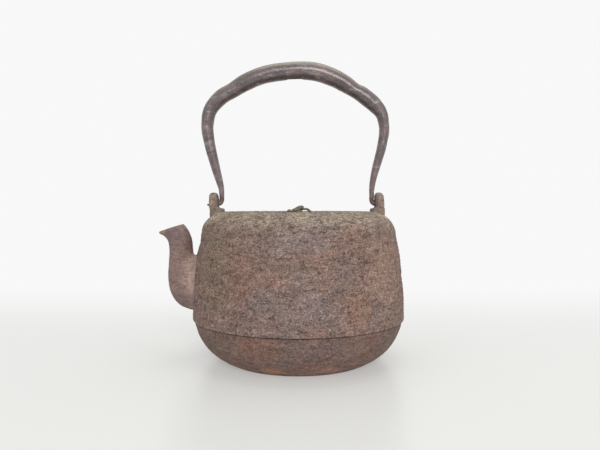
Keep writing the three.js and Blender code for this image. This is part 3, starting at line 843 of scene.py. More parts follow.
def join(name: str, parts: Sequence[Object]) -> Object:
    """Join finished objects into one.

    Args:
        name: The joined object's name.
        parts: The objects, which are removed.

    Returns:
        The joined object.
    """
    whole = bmesh.new()
    for item in parts:
        whole.from_mesh(item.data)
    made = add_mesh(name, whole, parts[0].data.materials[0])
    for item in parts:
        bpy.data.objects.remove(item)
    return made


def seat(piece: Object, body: str, node: str) -> None:
    """Put a piece on its body in place of its plain node, and log it.

    Args:
        piece: The finished object.
        body: The body it rides on.
        node: The plain node that it stands for.
    """
    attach(piece, body)
    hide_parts(node)
    log.info("%s: %d faces", piece.name, len(piece.data.polygons))


# Body of the kettle

INSIDE_SPACING = 4 * MM


@dataclass(frozen=True)
class Footprint:
    """Where something is mounted on the shell, round which its broad lumps fade, in mm."""

    centre: Triple
    reach: Triple

    def away(self, point: Vector) -> float:
        """How far a point is from the middle, as a share of the reach."""
        rows = zip(point, self.centre, self.reach)
        return math.sqrt(sum(((p - c * MM) / (r * MM)) ** 2 for p, c, r in rows))


@dataclass
class UpperShell:
    """The upper casting: skirt, leaning wall, round shoulder and the sunk seat of the lid.

    Its broad lumps are the construction model's. A wave of them has how many run round the body, how many
    pitches it climbs in one pitch of height, and its phase.
    """

    skirt_radius: float = 78 * MM
    seam_height: float = 30.5 * MM
    lip_height: float = 2.5 * MM
    wall: float = 2.8 * MM
    top: float = 108.7 * MM
    shoulder_radius: float = 18.6 * MM
    shoulder_centre: float = 53.7 * MM
    bulge: float = 1.5 * MM
    lump_depth: float = 1.2 * MM
    lump_level: float = 0.5
    lump_share: float = 0.18
    lump_lean: float = 0.45
    lump_pitch: float = 24 * MM
    lump_fade: float = 4 * MM
    mount_reach: float = 1.1
    mount_fade: float = 0.6
    lump_waves: Tuple[Numbers, ...] = (
        (5, 0.9, 0.4),
        (9, -0.6, 2.2),
        (13, 0.8, 4.1),
        (16, -0.9, 1.3),
        (8, 0.2, 5.2),
        (19, 0.5, 3),
    )
    footprints: Tuple[Footprint, ...] = (
        Footprint((-76, 0, 56), (40, 18.2, 21.7)),
        Footprint((-62.8, 0, 106), (7.7, 12.8, 60)),
        Footprint((60.2, 0, 106), (7.7, 12.8, 60)),
    )
    well_radius: float = 43.5 * MM
    well_round: float = 4 * MM
    seat_height: float = 100.8 * MM
    ledge: float = 3 * MM
    mouth_radius: float = 36.5 * MM
    well_taper: float = 1 * MM
    edge: float = 0.7 * MM
    steps: int = 540
    spacing: float = 0.95 * MM
    relief: Relief = Relief(depth=0.85 * MM, lump=3.6 * MM, grain=1.4 * MM, ropes=0.5, grain_share=0.4)

    def lean(self) -> float:
        """The angle at which the wall's straight line meets the shoulder's arc."""
        dr = self.skirt_radius - self.shoulder_centre
        dz = self.seam_height + self.lip_height - (self.top - self.shoulder_radius)
        return math.atan2(dz, dr) + math.acos(self.shoulder_radius / math.hypot(dr, dz))

    def surface_height(self, radius: float) -> float:
        """The height of the shoulder's true face at a radius."""
        across = max(0.0, radius - self.shoulder_centre)
        return self.top - self.shoulder_radius + math.sqrt(max(self.shoulder_radius**2 - across**2, 0.0))

    def wall_point(self, share: float) -> Pair:
        """A point of the wall's true face at a share of its height, as radius and height."""
        lean = self.lean()
        head = self.shoulder_centre + self.shoulder_radius * math.cos(lean)
        low = self.seam_height + self.lip_height
        high = self.top - self.shoulder_radius + self.shoulder_radius * math.sin(lean)
        swell = 4 * self.bulge * share * (1 - share)
        return self.skirt_radius + (head - self.skirt_radius) * share + swell, low + (high - low) * share

    def wall_radius(self, height: float) -> float:
        """The radius of the wall's true face at a height."""
        low, high = self.wall_point(0)[1], self.wall_point(1)[1]
        return self.wall_point((height - low) / (high - low))[0]

    def outline(self) -> Outline:
        """The shell's section, from the skirt's outer edge over the shoulder and back inside."""
        centre = (self.shoulder_centre, self.top - self.shoulder_radius)
        well = (self.well_radius + self.well_round, self.top - self.well_round)
        skirt, low, edge = self.skirt_radius, self.seam_height, self.edge
        underside = self.seat_height - self.ledge
        line = Outline(self.spacing)
        line.path(
            (skirt - edge, low, 0.2),
            (skirt - 0.2 * edge, low + 0.3 * edge, 0.3),
            (skirt, low + edge, 0.45),
            (skirt, low + self.lip_height, 0.8),
            *((*self.wall_point(i / 8), 1.0) for i in range(1, 8)),
        )
        line.arc(centre, self.shoulder_radius, self.lean(), math.pi / 2, 1.0)
        line.arc(well, self.well_round, math.pi / 2, math.pi, 0.6)
        line.path(
            (self.well_radius, self.seat_height, 0.3),
            (self.mouth_radius + edge, self.seat_height, 0.2),
            (self.mouth_radius, self.seat_height - edge, 0.2),
            (self.mouth_radius, underside, 0.2),
        )
        line.path(
            (self.well_radius + self.wall, underside, 0.2),
            (self.well_radius + self.wall + self.well_taper, self.top - self.wall, 0.2),
            spacing=INSIDE_SPACING,
        )
        line.arc(centre, self.shoulder_radius - self.wall, math.pi / 2, self.lean(), 0.25, INSIDE_SPACING)
        line.path(
            (skirt - self.wall, low + self.lip_height, 0.25),
            (skirt - self.wall, low, 0.1),
            spacing=INSIDE_SPACING,
        )
        return line

    def hollow(self, point: Vector) -> float:
        """How far the outer face is sunk at a point between its broad lumps, from 0 to 1."""
        angle = math.atan2(point.y, point.x)
        climb = 2 * math.pi * point.z / self.lump_pitch
        waves = sum(math.sin(turns * angle + rise * climb + phase) for turns, rise, phase in self.lump_waves)
        nearest = min(footprint.away(point) for footprint in self.footprints)
        share = clamp((nearest - self.mount_reach) / self.mount_fade)
        clear = share * share * (3 - 2 * share)
        above = (point.z - self.seam_height - self.lip_height) / (2 * self.lump_fade)
        beyond = (math.hypot(point.x, point.y) - self.shoulder_centre) / self.lump_fade
        level = self.lump_level + self.lump_share * waves - self.lump_lean * math.cos(angle)
        return clamp(level) * clear * clamp(min(above, beyond))

    def sink(self, solid: Solid) -> Solid:
        """Sink the outer face between its broad lumps."""
        for vert in solid.bm.verts:
            if vert[solid.skin] < 0.75:
                continue
            radius = math.hypot(vert.co.x, vert.co.y)
            rise = vert.co.z - self.top + self.shoulder_radius
            out = Vector((radius - self.shoulder_centre, max(0.0, rise))).normalized()
            depth = self.lump_depth * self.hollow(vert.co)
            shrink = 1 - out.x * depth / radius
            vert.co = Vector((vert.co.x * shrink, vert.co.y * shrink, vert.co.z - out.y * depth))
        return solid

    def dress(self, material: Material, hole: Object) -> None:
        """Build the shell, cut the spout's hole and seat it.

        Args:
            material: Its finish.
            hole: The solid to cut away.
        """
        solid = self.sink(Solid("cast_shell").turn(self.outline(), self.steps))
        made = solid.roughen(self.relief).finish(material)
        carve(made, hole)
        seat(made, "kettle", "upper_shell")


@dataclass
class BottomBowl:
    """The lower casting: a flat foot, a round bowl and a rim that stands inside the skirt."""

    shell: UpperShell
    step: float = 1.3 * MM
    foot_radius: float = 54 * MM
    foot_edge: float = 1.2 * MM
    arc_radius: float = 37.5 * MM
    wall: float = 3 * MM
    rim_height: float = 4 * MM
    rim_wall: float = 2.4 * MM
    gap: float = 0.3 * MM
    steps: int = 420
    spacing: float = 1.0 * MM
    foot_spacing: float = 3 * MM
    rim_taper: float = 0.4 * MM
    relief: Relief = Relief(
        depth=0.55 * MM, lump=6 * MM, grain=1.8 * MM, ropes=0.15, grain_share=0.3, swell=0.15
    )

    def bulge(self, start: Pair, end: Pair, radius: float) -> Tuple[Pair, float, float]:
        """Find the arc between two points that bulges outwards and down.

        Args:
            start: The lower point, as radius and height.
            end: The upper point.
            radius: The arc's radius.

        Returns:
            Its centre, its start angle and its end angle.
        """
        half = math.hypot(end[0] - start[0], end[1] - start[1]) / 2
        reach = math.sqrt(radius**2 - half**2)
        across = (-(end[1] - start[1]) / (2 * half), (end[0] - start[0]) / (2 * half))
        centre = ((start[0] + end[0]) / 2 + across[0] * reach, (start[1] + end[1]) / 2 + across[1] * reach)
        angles = [math.atan2(p[1] - centre[1], p[0] - centre[0]) for p in (start, end)]
        return centre, angles[0], angles[1]

    def outline(self) -> Outline:
        """The bowl's section, from the middle of the foot round the outside and back inside."""
        top = self.shell.seam_height - self.gap
        rim = self.shell.skirt_radius - self.shell.wall - self.gap
        rim_top = self.shell.seam_height + self.rim_height
        side = (self.shell.skirt_radius - self.step, top)
        line = Outline(self.spacing)
        line.path((0, 0, 0.0), (self.foot_radius - self.foot_edge, 0, 0.0), spacing=self.foot_spacing)
        centre, low, high = self.bulge((self.foot_radius, self.foot_edge / 2), side, self.arc_radius)
        line.arc(centre, self.arc_radius, low, high, 1.0)
        line.path((rim, top, 0.2))
        line.path(
            (rim - self.rim_taper, rim_top, 0.1),
            (rim - self.rim_wall, rim_top, 0.1),
            spacing=INSIDE_SPACING,
        )
        inner_foot = (self.foot_radius - self.wall / 2, self.wall)
        inner_radius = self.arc_radius - self.wall
        centre, low, high = self.bulge(inner_foot, (rim - self.rim_wall, top), inner_radius)
        line.arc(centre, inner_radius, high, low, 0.3, INSIDE_SPACING)
        line.path((0, self.wall, 0.3), spacing=INSIDE_SPACING)
        return line

    def dress(self, material: Material) -> None:
        """Build the bowl and seat it."""
        solid = Solid("cast_bowl").turn(self.outline(), self.steps, False)
        made = solid.roughen(self.relief).finish(material)
        seat(made, "kettle", "bottom_bowl")


@dataclass
class Spout:
    """The spout: a hollow tube that turns up from a round root and ends in a beak.

    A section has its outer edge, then its inner edge, as shares of the reach out from the wall and of the
    climb from the root's middle, then its half width as a share of the root's and how far it is pinched.
    """

    shell: UpperShell
    root_height: float = 56 * MM
    reach: float = 27.1 * MM
    climb: float = 43.4 * MM
    root_half_width: float = 18.2 * MM
    wall: float = 2.6 * MM
    rim_wall: float = 1.8 * MM
    hole_inset: float = 0.9 * MM
    hole_reach: float = 12 * MM
    rings: int = 96
    sides: int = 96
    sections: Tuple[Numbers, ...] = (
        (-0.145, -0.498, -0.145, 0.484, 1, 0),
        (-0.004, -0.493, -0.039, 0.477, 0.989, 0),
        (0.053, -0.486, -0.007, 0.468, 0.934, 0),
        (0.134, -0.475, 0.011, 0.465, 0.89, 0),
        (0.261, -0.449, 0.018, 0.468, 0.852, 0),
        (0.382, -0.412, 0.028, 0.472, 0.824, 0),
        (0.509, -0.346, 0.039, 0.479, 0.786, 0),
        (0.618, -0.253, 0.049, 0.488, 0.742, 0),
        (0.703, -0.115, 0.057, 0.505, 0.687, 0),
        (0.746, 0.099, 0.06, 0.535, 0.626, 0),
        (0.728, 0.306, 0.064, 0.581, 0.577, 0),
        (0.707, 0.507, 0.071, 0.641, 0.544, 0),
        (0.717, 0.629, 0.085, 0.714, 0.533, 0.05),
        (0.767, 0.728, 0.127, 0.811, 0.527, 0.12),
        (0.87, 0.793, 0.201, 0.908, 0.522, 0.25),
        (0.98, 0.826, 0.29, 0.979, 0.511, 0.38),
        (1, 0.862, 0.329, 1, 0.505, 0.4),
    )
    relief: Relief = Relief(depth=0.3 * MM, lump=6 * MM, grain=1.6 * MM, grain_share=0.25)

    def ring(self, t: float, inset: float) -> Ring:
        """Give one ring of the spout.

        Args:
            t: The place along the spout, from 0 at the root to 1 at the lip.
            inset: How far the ring is drawn in.

        Returns:
            What gives its point at an angle, with angle 0 on the outer edge.
        """
        out_x, out_z, in_x, in_z, half_y, pinch = smooth_row(self.sections, t)
        face = -self.shell.wall_radius(self.root_height)
        outer = Vector((face - out_x * self.reach, 0, self.root_height + out_z * self.climb))
        inner = Vector((face - in_x * self.reach, 0, self.root_height + in_z * self.climb))
        middle = (outer + inner) / 2
        along = (outer - inner) / 2
        reach = along.length - inset
        along.normalize()
        width = half_y * self.root_half_width - inset

        def point(angle: float) -> Vector:
            """The ring's point at an angle."""
            across = math.sin(angle) * (1 - pinch * (1 + math.cos(angle)) / 2)
            return middle + along * (reach * math.cos(angle)) + Vector((0, width * across, 0))

        return point

    def dress(self, material: Material) -> None:
        """Build the hollow spout and seat it."""
        steps = self.rings
        outside = [self.ring(i / steps, 0) for i in range(steps + 1)]
        lip = [self.ring(1, self.rim_wall * share) for share in (0.12, 0.5, 0.88)]
        inside = [
            self.ring(i / steps, self.wall + (self.rim_wall - self.wall) * (i / steps) ** 4)
            for i in range(steps, -1, -2)
        ]
        made = Solid("cast_spout").loft(outside + lip + inside, self.sides, True)
        piece = made.roughen(self.relief).finish(material)
        seat(piece, "kettle", "spout")

    def hole(self) -> Object:
        """The solid that is cut from the shell where the spout's root passes through it."""
        face = -self.shell.wall_radius(self.root_height)
        out_z, in_z, half_y = (self.sections[1][i] for i in (1, 3, 4))
        inset = self.hole_inset + self.wall
        middle = self.root_height + (in_z + out_z) / 2 * self.climb
        width = Vector((0, half_y * self.root_half_width - inset, 0))
        height = Vector((0, 0, (in_z - out_z) / 2 * self.climb - inset))
        places = (face - self.hole_reach, face + self.hole_reach)
        rings = [oval(Vector((x, 0, middle)), width, height) for x in places]
        return Solid("spout_hole").loft(rings, 64).cutter()


class Side(Enum):
    """Which end of the handle something stands at."""

    SPOUT = -1
    FAR = 1


@dataclass
class Lug:
    """A rough ear on the shoulder, with an eye for the handle's hook."""

    shell: UpperShell
    side: Side
    span: float = 61.5 * MM
    offset: float = -1.3 * MM
    half_thickness: float = 3.5 * MM
    half_width: float = 8.6 * MM
    top: float = 122.8 * MM
    pivot: float = 114.4 * MM
    eye_radius: float = 2.4 * MM
    flare: float = 4.2 * MM
    root_lean: float = 0.5 * MM
    lean: float = 0.3 * MM
    sides: int = 56
    rings: int = 44
    squareness: float = 0.62
    root_depth: float = 2.5 * MM
    eye_reach: float = 5 * MM
    relief: Relief = Relief(depth=0.4 * MM, lump=3.2 * MM, grain=1.1 * MM, ropes=0.3, grain_share=0.35)

    def middle(self) -> float:
        """Where the lug's middle is along X."""
        return self.offset + self.side.value * self.span

    def ring(self, height: float, half_x: float, half_y: float, shift: float) -> Ring:
        """Give one squarish ring of the ear.

        Args:
            height: Its height.
            half_x: Half its thickness.
            half_y: Half its width.
            shift: How far it is moved along X.

        Returns:
            What gives its point at an angle.
        """
        centre = self.middle() + shift

        def point(angle: float) -> Vector:
            """The ring's point at an angle."""
            c, s = math.cos(angle), math.sin(angle)
            x = math.copysign(abs(c) ** self.squareness, c) * half_x
            y = math.copysign(abs(s) ** self.squareness, s) * half_y
            return Vector((centre + x, y, height))

        return point

    def eye(self) -> Object:
        """The solid of the eye, which is cut from the ear."""
        reach = self.half_thickness
        places = (
            (-reach - self.eye_reach, 1.25),
            (-reach, 1.15),
            (-reach * 0.6, 1),
            (reach * 0.6, 1),
            (reach, 1.15),
            (reach + self.eye_reach, 1.25),
        )
        rings = []
        for x, share in places:
            radius = self.eye_radius * share
            centre = Vector((self.middle() + x, 0, self.pivot))
            rings.append(oval(centre, Vector((0, radius, 0)), Vector((0, 0, radius))))
        return Solid("eye").loft(rings, 40).cutter()

    def dress(self, material: Material) -> None:
        """Build the ear with its eye and seat it."""
        face = self.pivot - self.eye_radius
        rise = self.top - face
        root = self.shell.surface_height(abs(self.middle()) + self.half_thickness) - self.root_depth
        t, w, f = self.half_thickness, self.half_width, self.flare
        spread = f / 2
        inward = self.root_lean - self.side.value * spread
        sections = (
            (root, t + spread * 1.1, w + f * 0.5, inward * 1.1),
            (face - f * 0.5, t + spread * 0.85, w + f * 0.25, inward * 0.85),
            (face - f * 0.26, t + spread * 0.55, w, inward * 0.55),
            (face, t, w, 0),
            (face + rise * 0.3, t, w * 0.98, -self.lean * 0.1),
            (face + rise * 0.55, t * 0.98, w * 0.9, -self.lean * 0.4),
            (face + rise * 0.76, t * 0.95, w * 0.76, -self.lean * 0.8),
            (face + rise * 0.88, t * 0.8, w * 0.58, -self.lean),
            (face + rise * 0.96, t * 0.56, w * 0.4, -self.lean),
            (self.top, t * 0.22, w * 0.16, -self.lean),
        )
        rings = [self.ring(*smooth_row(sections, i / self.rings)) for i in range(self.rings + 1)]
        name = self.side.name.lower()
        plain = Solid(f"{name}_ear").loft(rings, self.sides).finish(material)
        carve(plain, self.eye())
        made = Solid.again(plain).roughen(self.relief).finish(material)
        seat(made, "kettle", f"{name}_side_lug")


# Handle


@dataclass
class Handle:
    """The tall forged handle: hollow over its arch, open below the grip and hooked at both ends.

    A station has its distance from the middle as a share of the feet's, its height above the pivot as a
    share of the rise, then its half thickness in the handle's plane and its half depth as shares of the
    grip's.
    """

    lug: Lug
    top: float = 219.6 * MM
    half_thickness: float = 6.7 * MM
    half_depth: float = 6.8 * MM
    sheet: float = 1.7 * MM
    hook: float = 1.9 * MM
    tip: float = 0.6 * MM
    leg_play: float = 0.3 * MM
    droop: float = 0.9 * MM
    tail: float = 1.8 * MM
    end: float = 0.5 * MM
    slot_length: float = 16 * MM
    slot_width: float = 7.4 * MM
    slot_shift: float = -1.6 * MM
    slot_room: float = 3 * MM
    rings: int = 300
    sides: int = 40
    first_hollow: int = 8
    last_hollow: int = 20
    stations: Tuple[Numbers, ...] = (
        (-1, 0.06, 0.284, 0.382),
        (-1.006, 0.112, 0.325, 0.412),
        (-1.029, 0.164, 0.388, 0.471),
        (-1.059, 0.225, 0.463, 0.544),
        (-1.1, 0.314, 0.537, 0.632),
        (-1.144, 0.413, 0.597, 0.706),
        (-1.179, 0.517, 0.657, 0.765),
        (-1.187, 0.598, 0.701, 0.809),
        (-1.145, 0.707, 0.791, 0.853),
        (-1.009, 0.798, 0.866, 0.882),
        (-0.855, 0.85, 0.858, 0.868),
        (-0.696, 0.907, 0.948, 0.926),
        (-0.469, 0.961, 0.963, 0.971),
        (-0.254, 0.987, 0.985, 0.985),
        (0.015, 1, 1, 1),
        (0.255, 0.99, 1.015, 0.985),
        (0.467, 0.951, 1, 0.971),
        (0.631, 0.904, 0.955, 0.926),
        (0.768, 0.853, 0.821, 0.868),
        (0.864, 0.822, 0.896, 0.882),
        (1.015, 0.754, 0.881, 0.868),
        (1.119, 0.685, 0.716, 0.809),
        (1.158, 0.608, 0.604, 0.779),
        (1.164, 0.54, 0.575, 0.75),
        (1.13, 0.421, 0.522, 0.691),
        (1.072, 0.299, 0.463, 0.603),
        (1.031, 0.209, 0.388, 0.529),
        (1.004, 0.119, 0.321, 0.426),
        (1, 0.06, 0.284, 0.382),
    )
    relief: Relief = Relief(depth=0.3 * MM, lump=9 * MM, grain=2.2 * MM, grain_share=0.16)

    def place(self, station: Numbers) -> List[float]:
        """Turn a station into its X and Z and its half sizes, in metres."""
        foot = self.lug.span - self.lug.half_thickness - self.leg_play - self.hook
        rise = self.top - self.half_thickness - self.lug.pivot
        across, up, thick, deep = station
        return [
            self.lug.offset + across * foot,
            self.lug.pivot + up * rise,
            thick * self.half_thickness,
            deep * self.half_depth,
        ]

    def hook_rows(self, side: Side, tail: float) -> List[List[float]]:
        """Give a hook's rows from its tip to the foot of its leg.

        Args:
            side: The end of the handle.
            tail: How far the tip stands out of the lug.

        Returns:
            Rows of X, Z, half thickness and half depth.
        """
        s = side.value
        leg = self.place(self.stations[0 if side is Side.SPOUT else -1])[0]
        face = self.lug.offset + s * (self.lug.span + self.lug.half_thickness)
        z = self.lug.pivot
        r = self.hook
        return [
            [face + s * tail, z - self.droop * 0.7, self.tip, self.tip],
            [face + s * tail / 2, z - self.droop, r * 0.5, r * 0.5],
            [face - s * r * 0.5, z - self.droop * 0.8, r * 0.62, r * 0.62],
            [leg + s * r * 1.8, z, r, r],
            [leg + s * r * 0.5, z + r * 0.4, r, r],
            [leg, z + r * 1.7, r, r * 1.1],
        ]

    def tube(self, rows: Sequence[Numbers], rings: int, sides: int, inset: float, name: str) -> Solid:
        """Skin a tube along rows of X, Z and half sizes.

        Args:
            rows: The rows along the tube.
            rings: How many rings it has.
            sides: How many points a ring has.
            inset: How far it is drawn in.
            name: The piece's name.

        Returns:
            The solid.
        """
        fine = [smooth_row(rows, i / (rings * 4)) for i in range(rings * 4 + 1)]
        lengths = [0.0]
        for a, b in zip(fine, fine[1:]):
            lengths.append(lengths[-1] + math.hypot(b[0] - a[0], b[1] - a[1]))
        made = []
        k = 0
        for i in range(rings + 1):
            goal = lengths[-1] * i / rings
            while k < len(fine) - 2 and lengths[k + 1] < goal:
                k += 1
            a, b = fine[k], fine[k + 1]
            share = (goal - lengths[k]) / max(lengths[k + 1] - lengths[k], 1e-12)
            row = [p + (q - p) * share for p, q in zip(a, b)]
            made.append(tube_ring(row, a, b, inset))
        return Solid(name).loft(made, sides)

    def hollow(self) -> Object:
        """The solid of the room inside the arch."""
        rows = [self.place(s) for s in self.stations[self.first_hollow : self.last_hollow + 1]]
        return self.tube(rows, 60, 24, self.sheet, "hollow").cutter()

    def window(self) -> Object:
        """The solid of the long opening under the grip, with round ends."""
        middle = self.lug.offset + self.slot_shift
        half = self.slot_width / 2
        reach = self.slot_length / 2 - half
        low = self.top - 2 * self.half_thickness - self.slot_room
        high = self.top - self.half_thickness

        def ring(z: float) -> Ring:
            """A long round-ended ring at one height."""
            return lambda a: Vector(
                (middle + math.copysign(reach, math.cos(a)) + half * math.cos(a), half * math.sin(a), z)
            )

        return Solid("window").loft([ring(low), ring(high)], 40).cutter()

    def dress(self, material: Material) -> None:
        """Build the handle, open its slot and seat it."""
        near = self.hook_rows(Side.SPOUT, self.tail)
        far = self.hook_rows(Side.FAR, self.end)
        rows = near + [self.place(s) for s in self.stations] + far[::-1]
        made = self.tube(rows, self.rings, self.sides, 0.0, "forged_handle")
        piece = made.roughen(self.relief).finish(material)
        carve(piece, self.hollow())
        carve(piece, self.window())
        seat(piece, "handle", "bail_handle")


# Lid and knob


@dataclass
class Lid:
    """The small domed lid with its drop flange."""

    shell: UpperShell
    plate: float = 2.2 * MM
    dome: float = 2.4 * MM
    play: float = 1 * MM
    gap: float = 0.3 * MM
    flange_height: float = 7 * MM
    flange_wall: float = 2.2 * MM
    flange_play: float = 1 * MM
    flat_radius: float = 7.4 * MM
    bore: float = 1.8 * MM
    steps: int = 220
    spacing: float = 0.8 * MM
    flange_spacing: float = 2 * MM
    rim_round: float = 0.9 * MM
    flat_drop: float = 0.1 * MM
    dome_drop: float = 0.12 * MM
    dome_rings: int = 12
    relief: Relief = Relief(depth=0.22 * MM, lump=3.5 * MM, grain=1.1 * MM, grain_share=0.4)

    def bottom(self) -> float:
        """The height of the plate's underside at its edge."""
        return self.shell.seat_height + self.gap

    def top(self) -> float:
        """The height of the flat that the knob stands on."""
        return self.bottom() + self.plate + self.dome - self.flat_drop

    def burr_top(self) -> float:
        """The height of the washer under the plate."""
        return self.bottom() + self.dome * 0.8 - self.gap

    def outline(self) -> Outline:
        """The lid's section, from the bore over the dome, down the flange and back underneath."""
        radius = self.shell.well_radius - self.play
        flange = self.shell.mouth_radius - self.flange_play
        inner = flange - self.flange_wall
        low = self.bottom()
        edge = low + self.plate
        line = Outline(self.spacing)
        line.path((self.bore, self.top(), 0.0), (self.flat_radius, self.top(), 0.0))
        for i in range(1, self.dome_rings + 1):
            r = self.flat_radius + (radius - self.rim_round - self.flat_radius) * i / self.dome_rings
            line.path((r, edge + self.dome * (1 - (r / radius) ** 2) - self.dome_drop, 1.0))
        line.path(
            (radius - 0.2 * MM, edge - 0.3 * MM, 0.5),
            (radius, edge - 0.8 * MM, 0.3),
            (radius, low, 0.0),
            (flange, low, 0.0),
        )
        line.path(
            (flange, low - self.flange_height, 0.0),
            (inner, low - self.flange_height, 0.0),
            (inner, low + self.dome * 0.2, 0.0),
            (inner * 0.5, low + self.dome * 0.8, 0.0),
            (self.bore, low + self.dome * 0.9, 0.0),
            spacing=self.flange_spacing,
        )
        return line

    def dress(self, material: Material) -> None:
        """Build the lid and seat it."""
        made = Solid("bronze_lid").turn(self.outline(), self.steps).roughen(self.relief).finish(material)
        seat(made, "lid", "lid")


@dataclass
class Knob:
    """The cast twig that is the knob, with its washers and its rivet.

    A row of a limb has its distance along as a share of the half length, its height as a share of the
    knob's, then its half thickness and half depth as shares of the knob's half depth.
    """

    lid: Lid
    half_length: float = 9 * MM
    half_depth: float = 3 * MM
    neck_radius: float = 2.8 * MM
    foot_radius: float = 3.8 * MM
    top: float = 113.4 * MM
    seat_radius: float = 6.4 * MM
    seat_height: float = 0.9 * MM
    burr_radius: float = 4.6 * MM
    burr_height: float = 0.8 * MM
    pin_radius: float = 1.5 * MM
    pin_depth: float = 3 * MM
    head_radius: float = 2.7 * MM
    head_height: float = 1.1 * MM
    gap: float = 0.3 * MM
    foot_height: float = 0.9 * MM
    neck_height: float = 2.2 * MM
    neck_top: float = 3.6 * MM
    neck_crown: float = 3.9 * MM
    twig: Tuple[Numbers, ...] = (
        (-0.95, 0.27, 0.2, 0.3),
        (-0.86, 0.28, 0.37, 0.57),
        (-0.74, 0.3, 0.47, 0.73),
        (-0.56, 0.26, 0.45, 0.83),
        (-0.36, 0.34, 0.6, 0.93),
        (-0.12, 0.44, 0.73, 1),
        (0.1, 0.6, 0.73, 0.97),
        (0.28, 0.72, 0.58, 0.73),
        (0.4, 0.74, 0.37, 0.47),
        (0.455, 0.73, 0.17, 0.23),
    )
    loop: Tuple[Numbers, ...] = (
        (0.2, 0.5, 0.33, 0.47),
        (0.45, 0.53, 0.32, 0.43),
        (0.66, 0.53, 0.32, 0.43),
        (0.84, 0.42, 0.35, 0.45),
        (0.95, 0.2, 0.38, 0.47),
        (0.97, 0.04, 0.4, 0.5),
    )
    relief: Relief = Relief(depth=0.4 * MM, lump=1.6 * MM, grain=0.7 * MM, ropes=0.4, grain_share=0.3)

    def foot(self) -> float:
        """The height that the knob stands at."""
        return self.lid.top() + self.gap + self.seat_height + self.gap

    def limb(self, name: str, rows: Sequence[Numbers], rings: int) -> Solid:
        """Skin one limb of the twig.

        Args:
            name: The limb's name.
            rows: Its rows.
            rings: How many rings it has.

        Returns:
            The solid.
        """
        height = self.top - self.foot()
        path = [
            [x * self.half_length, self.foot() + up * height, t * self.half_depth, d * self.half_depth]
            for x, up, t, d in rows
        ]
        made = []
        for i in range(rings + 1):
            behind, here, ahead = (smooth_row(path, i / rings + step) for step in (-0.01, 0, 0.01))
            made.append(tube_ring(here, behind, ahead))
        return Solid(name).loft(made, 24)

    def root(self) -> Solid:
        """Turn the twig's foot and neck, with a blind hole for the rivet."""
        low = self.foot()
        bore = self.pin_radius + self.gap
        hole_top = low + self.pin_depth + self.gap
        line = Outline(0.5 * MM)
        line.path(
            (bore, low, 0.0),
            (self.foot_radius, low, 0.2),
            (self.foot_radius, low + self.foot_height, 1.0),
            (self.neck_radius, low + self.neck_height, 1.0),
            (self.neck_radius * 0.9, low + self.neck_top, 1.0),
            (0, low + self.neck_crown, 1.0),
            (0, hole_top, 0.0),
            (bore, hole_top, 0.0),
        )
        return Solid("foot").turn(line, 48)

    def washer(self, name: str, low: float, radius: float, height: float) -> Solid:
        """Turn a washer with a rounded upper edge.

        Args:
            name: The washer's name.
            low: The height of its underside.
            radius: Its outer radius.
            height: How thick it is.

        Returns:
            The solid.
        """
        bore = self.pin_radius + self.gap
        line = Outline(0.6 * MM)
        line.path(
            (bore, low, 0.0),
            (radius, low, 0.0),
            (radius, low + height * 0.55, 0.3),
            (radius - height * 0.2, low + height * 0.85, 0.5),
            (radius - height * 0.5, low + height, 0.5),
            (bore, low + height, 0.3),
        )
        return Solid(name).turn(line, 72).roughen(PLAIN_RELIEF)

    def rivet(self, top: float) -> Solid:
        """Turn the rivet, with the upper face of its head at this height."""
        end = self.foot() + self.pin_depth
        line = Outline(0.4 * MM)
        line.path(
            (0, top - self.head_height, 0.0),
            (self.head_radius * 0.55, top - self.head_height * 0.92, 0.0),
            (self.head_radius * 0.9, top - self.head_height * 0.55, 0.0),
            (self.head_radius, top - self.head_height * 0.2, 0.0),
            (self.head_radius, top, 0.0),
            (self.pin_radius, top, 0.0),
            (self.pin_radius, end, 0.0),
            (0, end, 0.0),
        )
        return Solid("rivet").turn(line, 40, False).roughen(PLAIN_RELIEF)

    def dress(self, material: Material) -> None:
        """Build the knob, its washers and its rivet and seat them."""
        parts = (self.limb("twig", self.twig, 52), self.limb("loop", self.loop, 40), self.root())
        whole = join("twig_knob", [part.roughen(self.relief).finish(material) for part in parts])
        seat(whole, "knob", "knob")
        plate = self.washer("knob_washer", self.lid.top() + self.gap, self.seat_radius, self.seat_height)
        seat(plate.finish(material), "lid", "knob_seat")
        low = self.lid.burr_top() - self.burr_height
        burr = self.washer("rivet_washer", low, self.burr_radius, self.burr_height)
        seat(burr.finish(material), "lid", "knob_burr")
        seat(self.rivet(low - self.gap).finish(material), "knob", "knob_pin")


# Studio


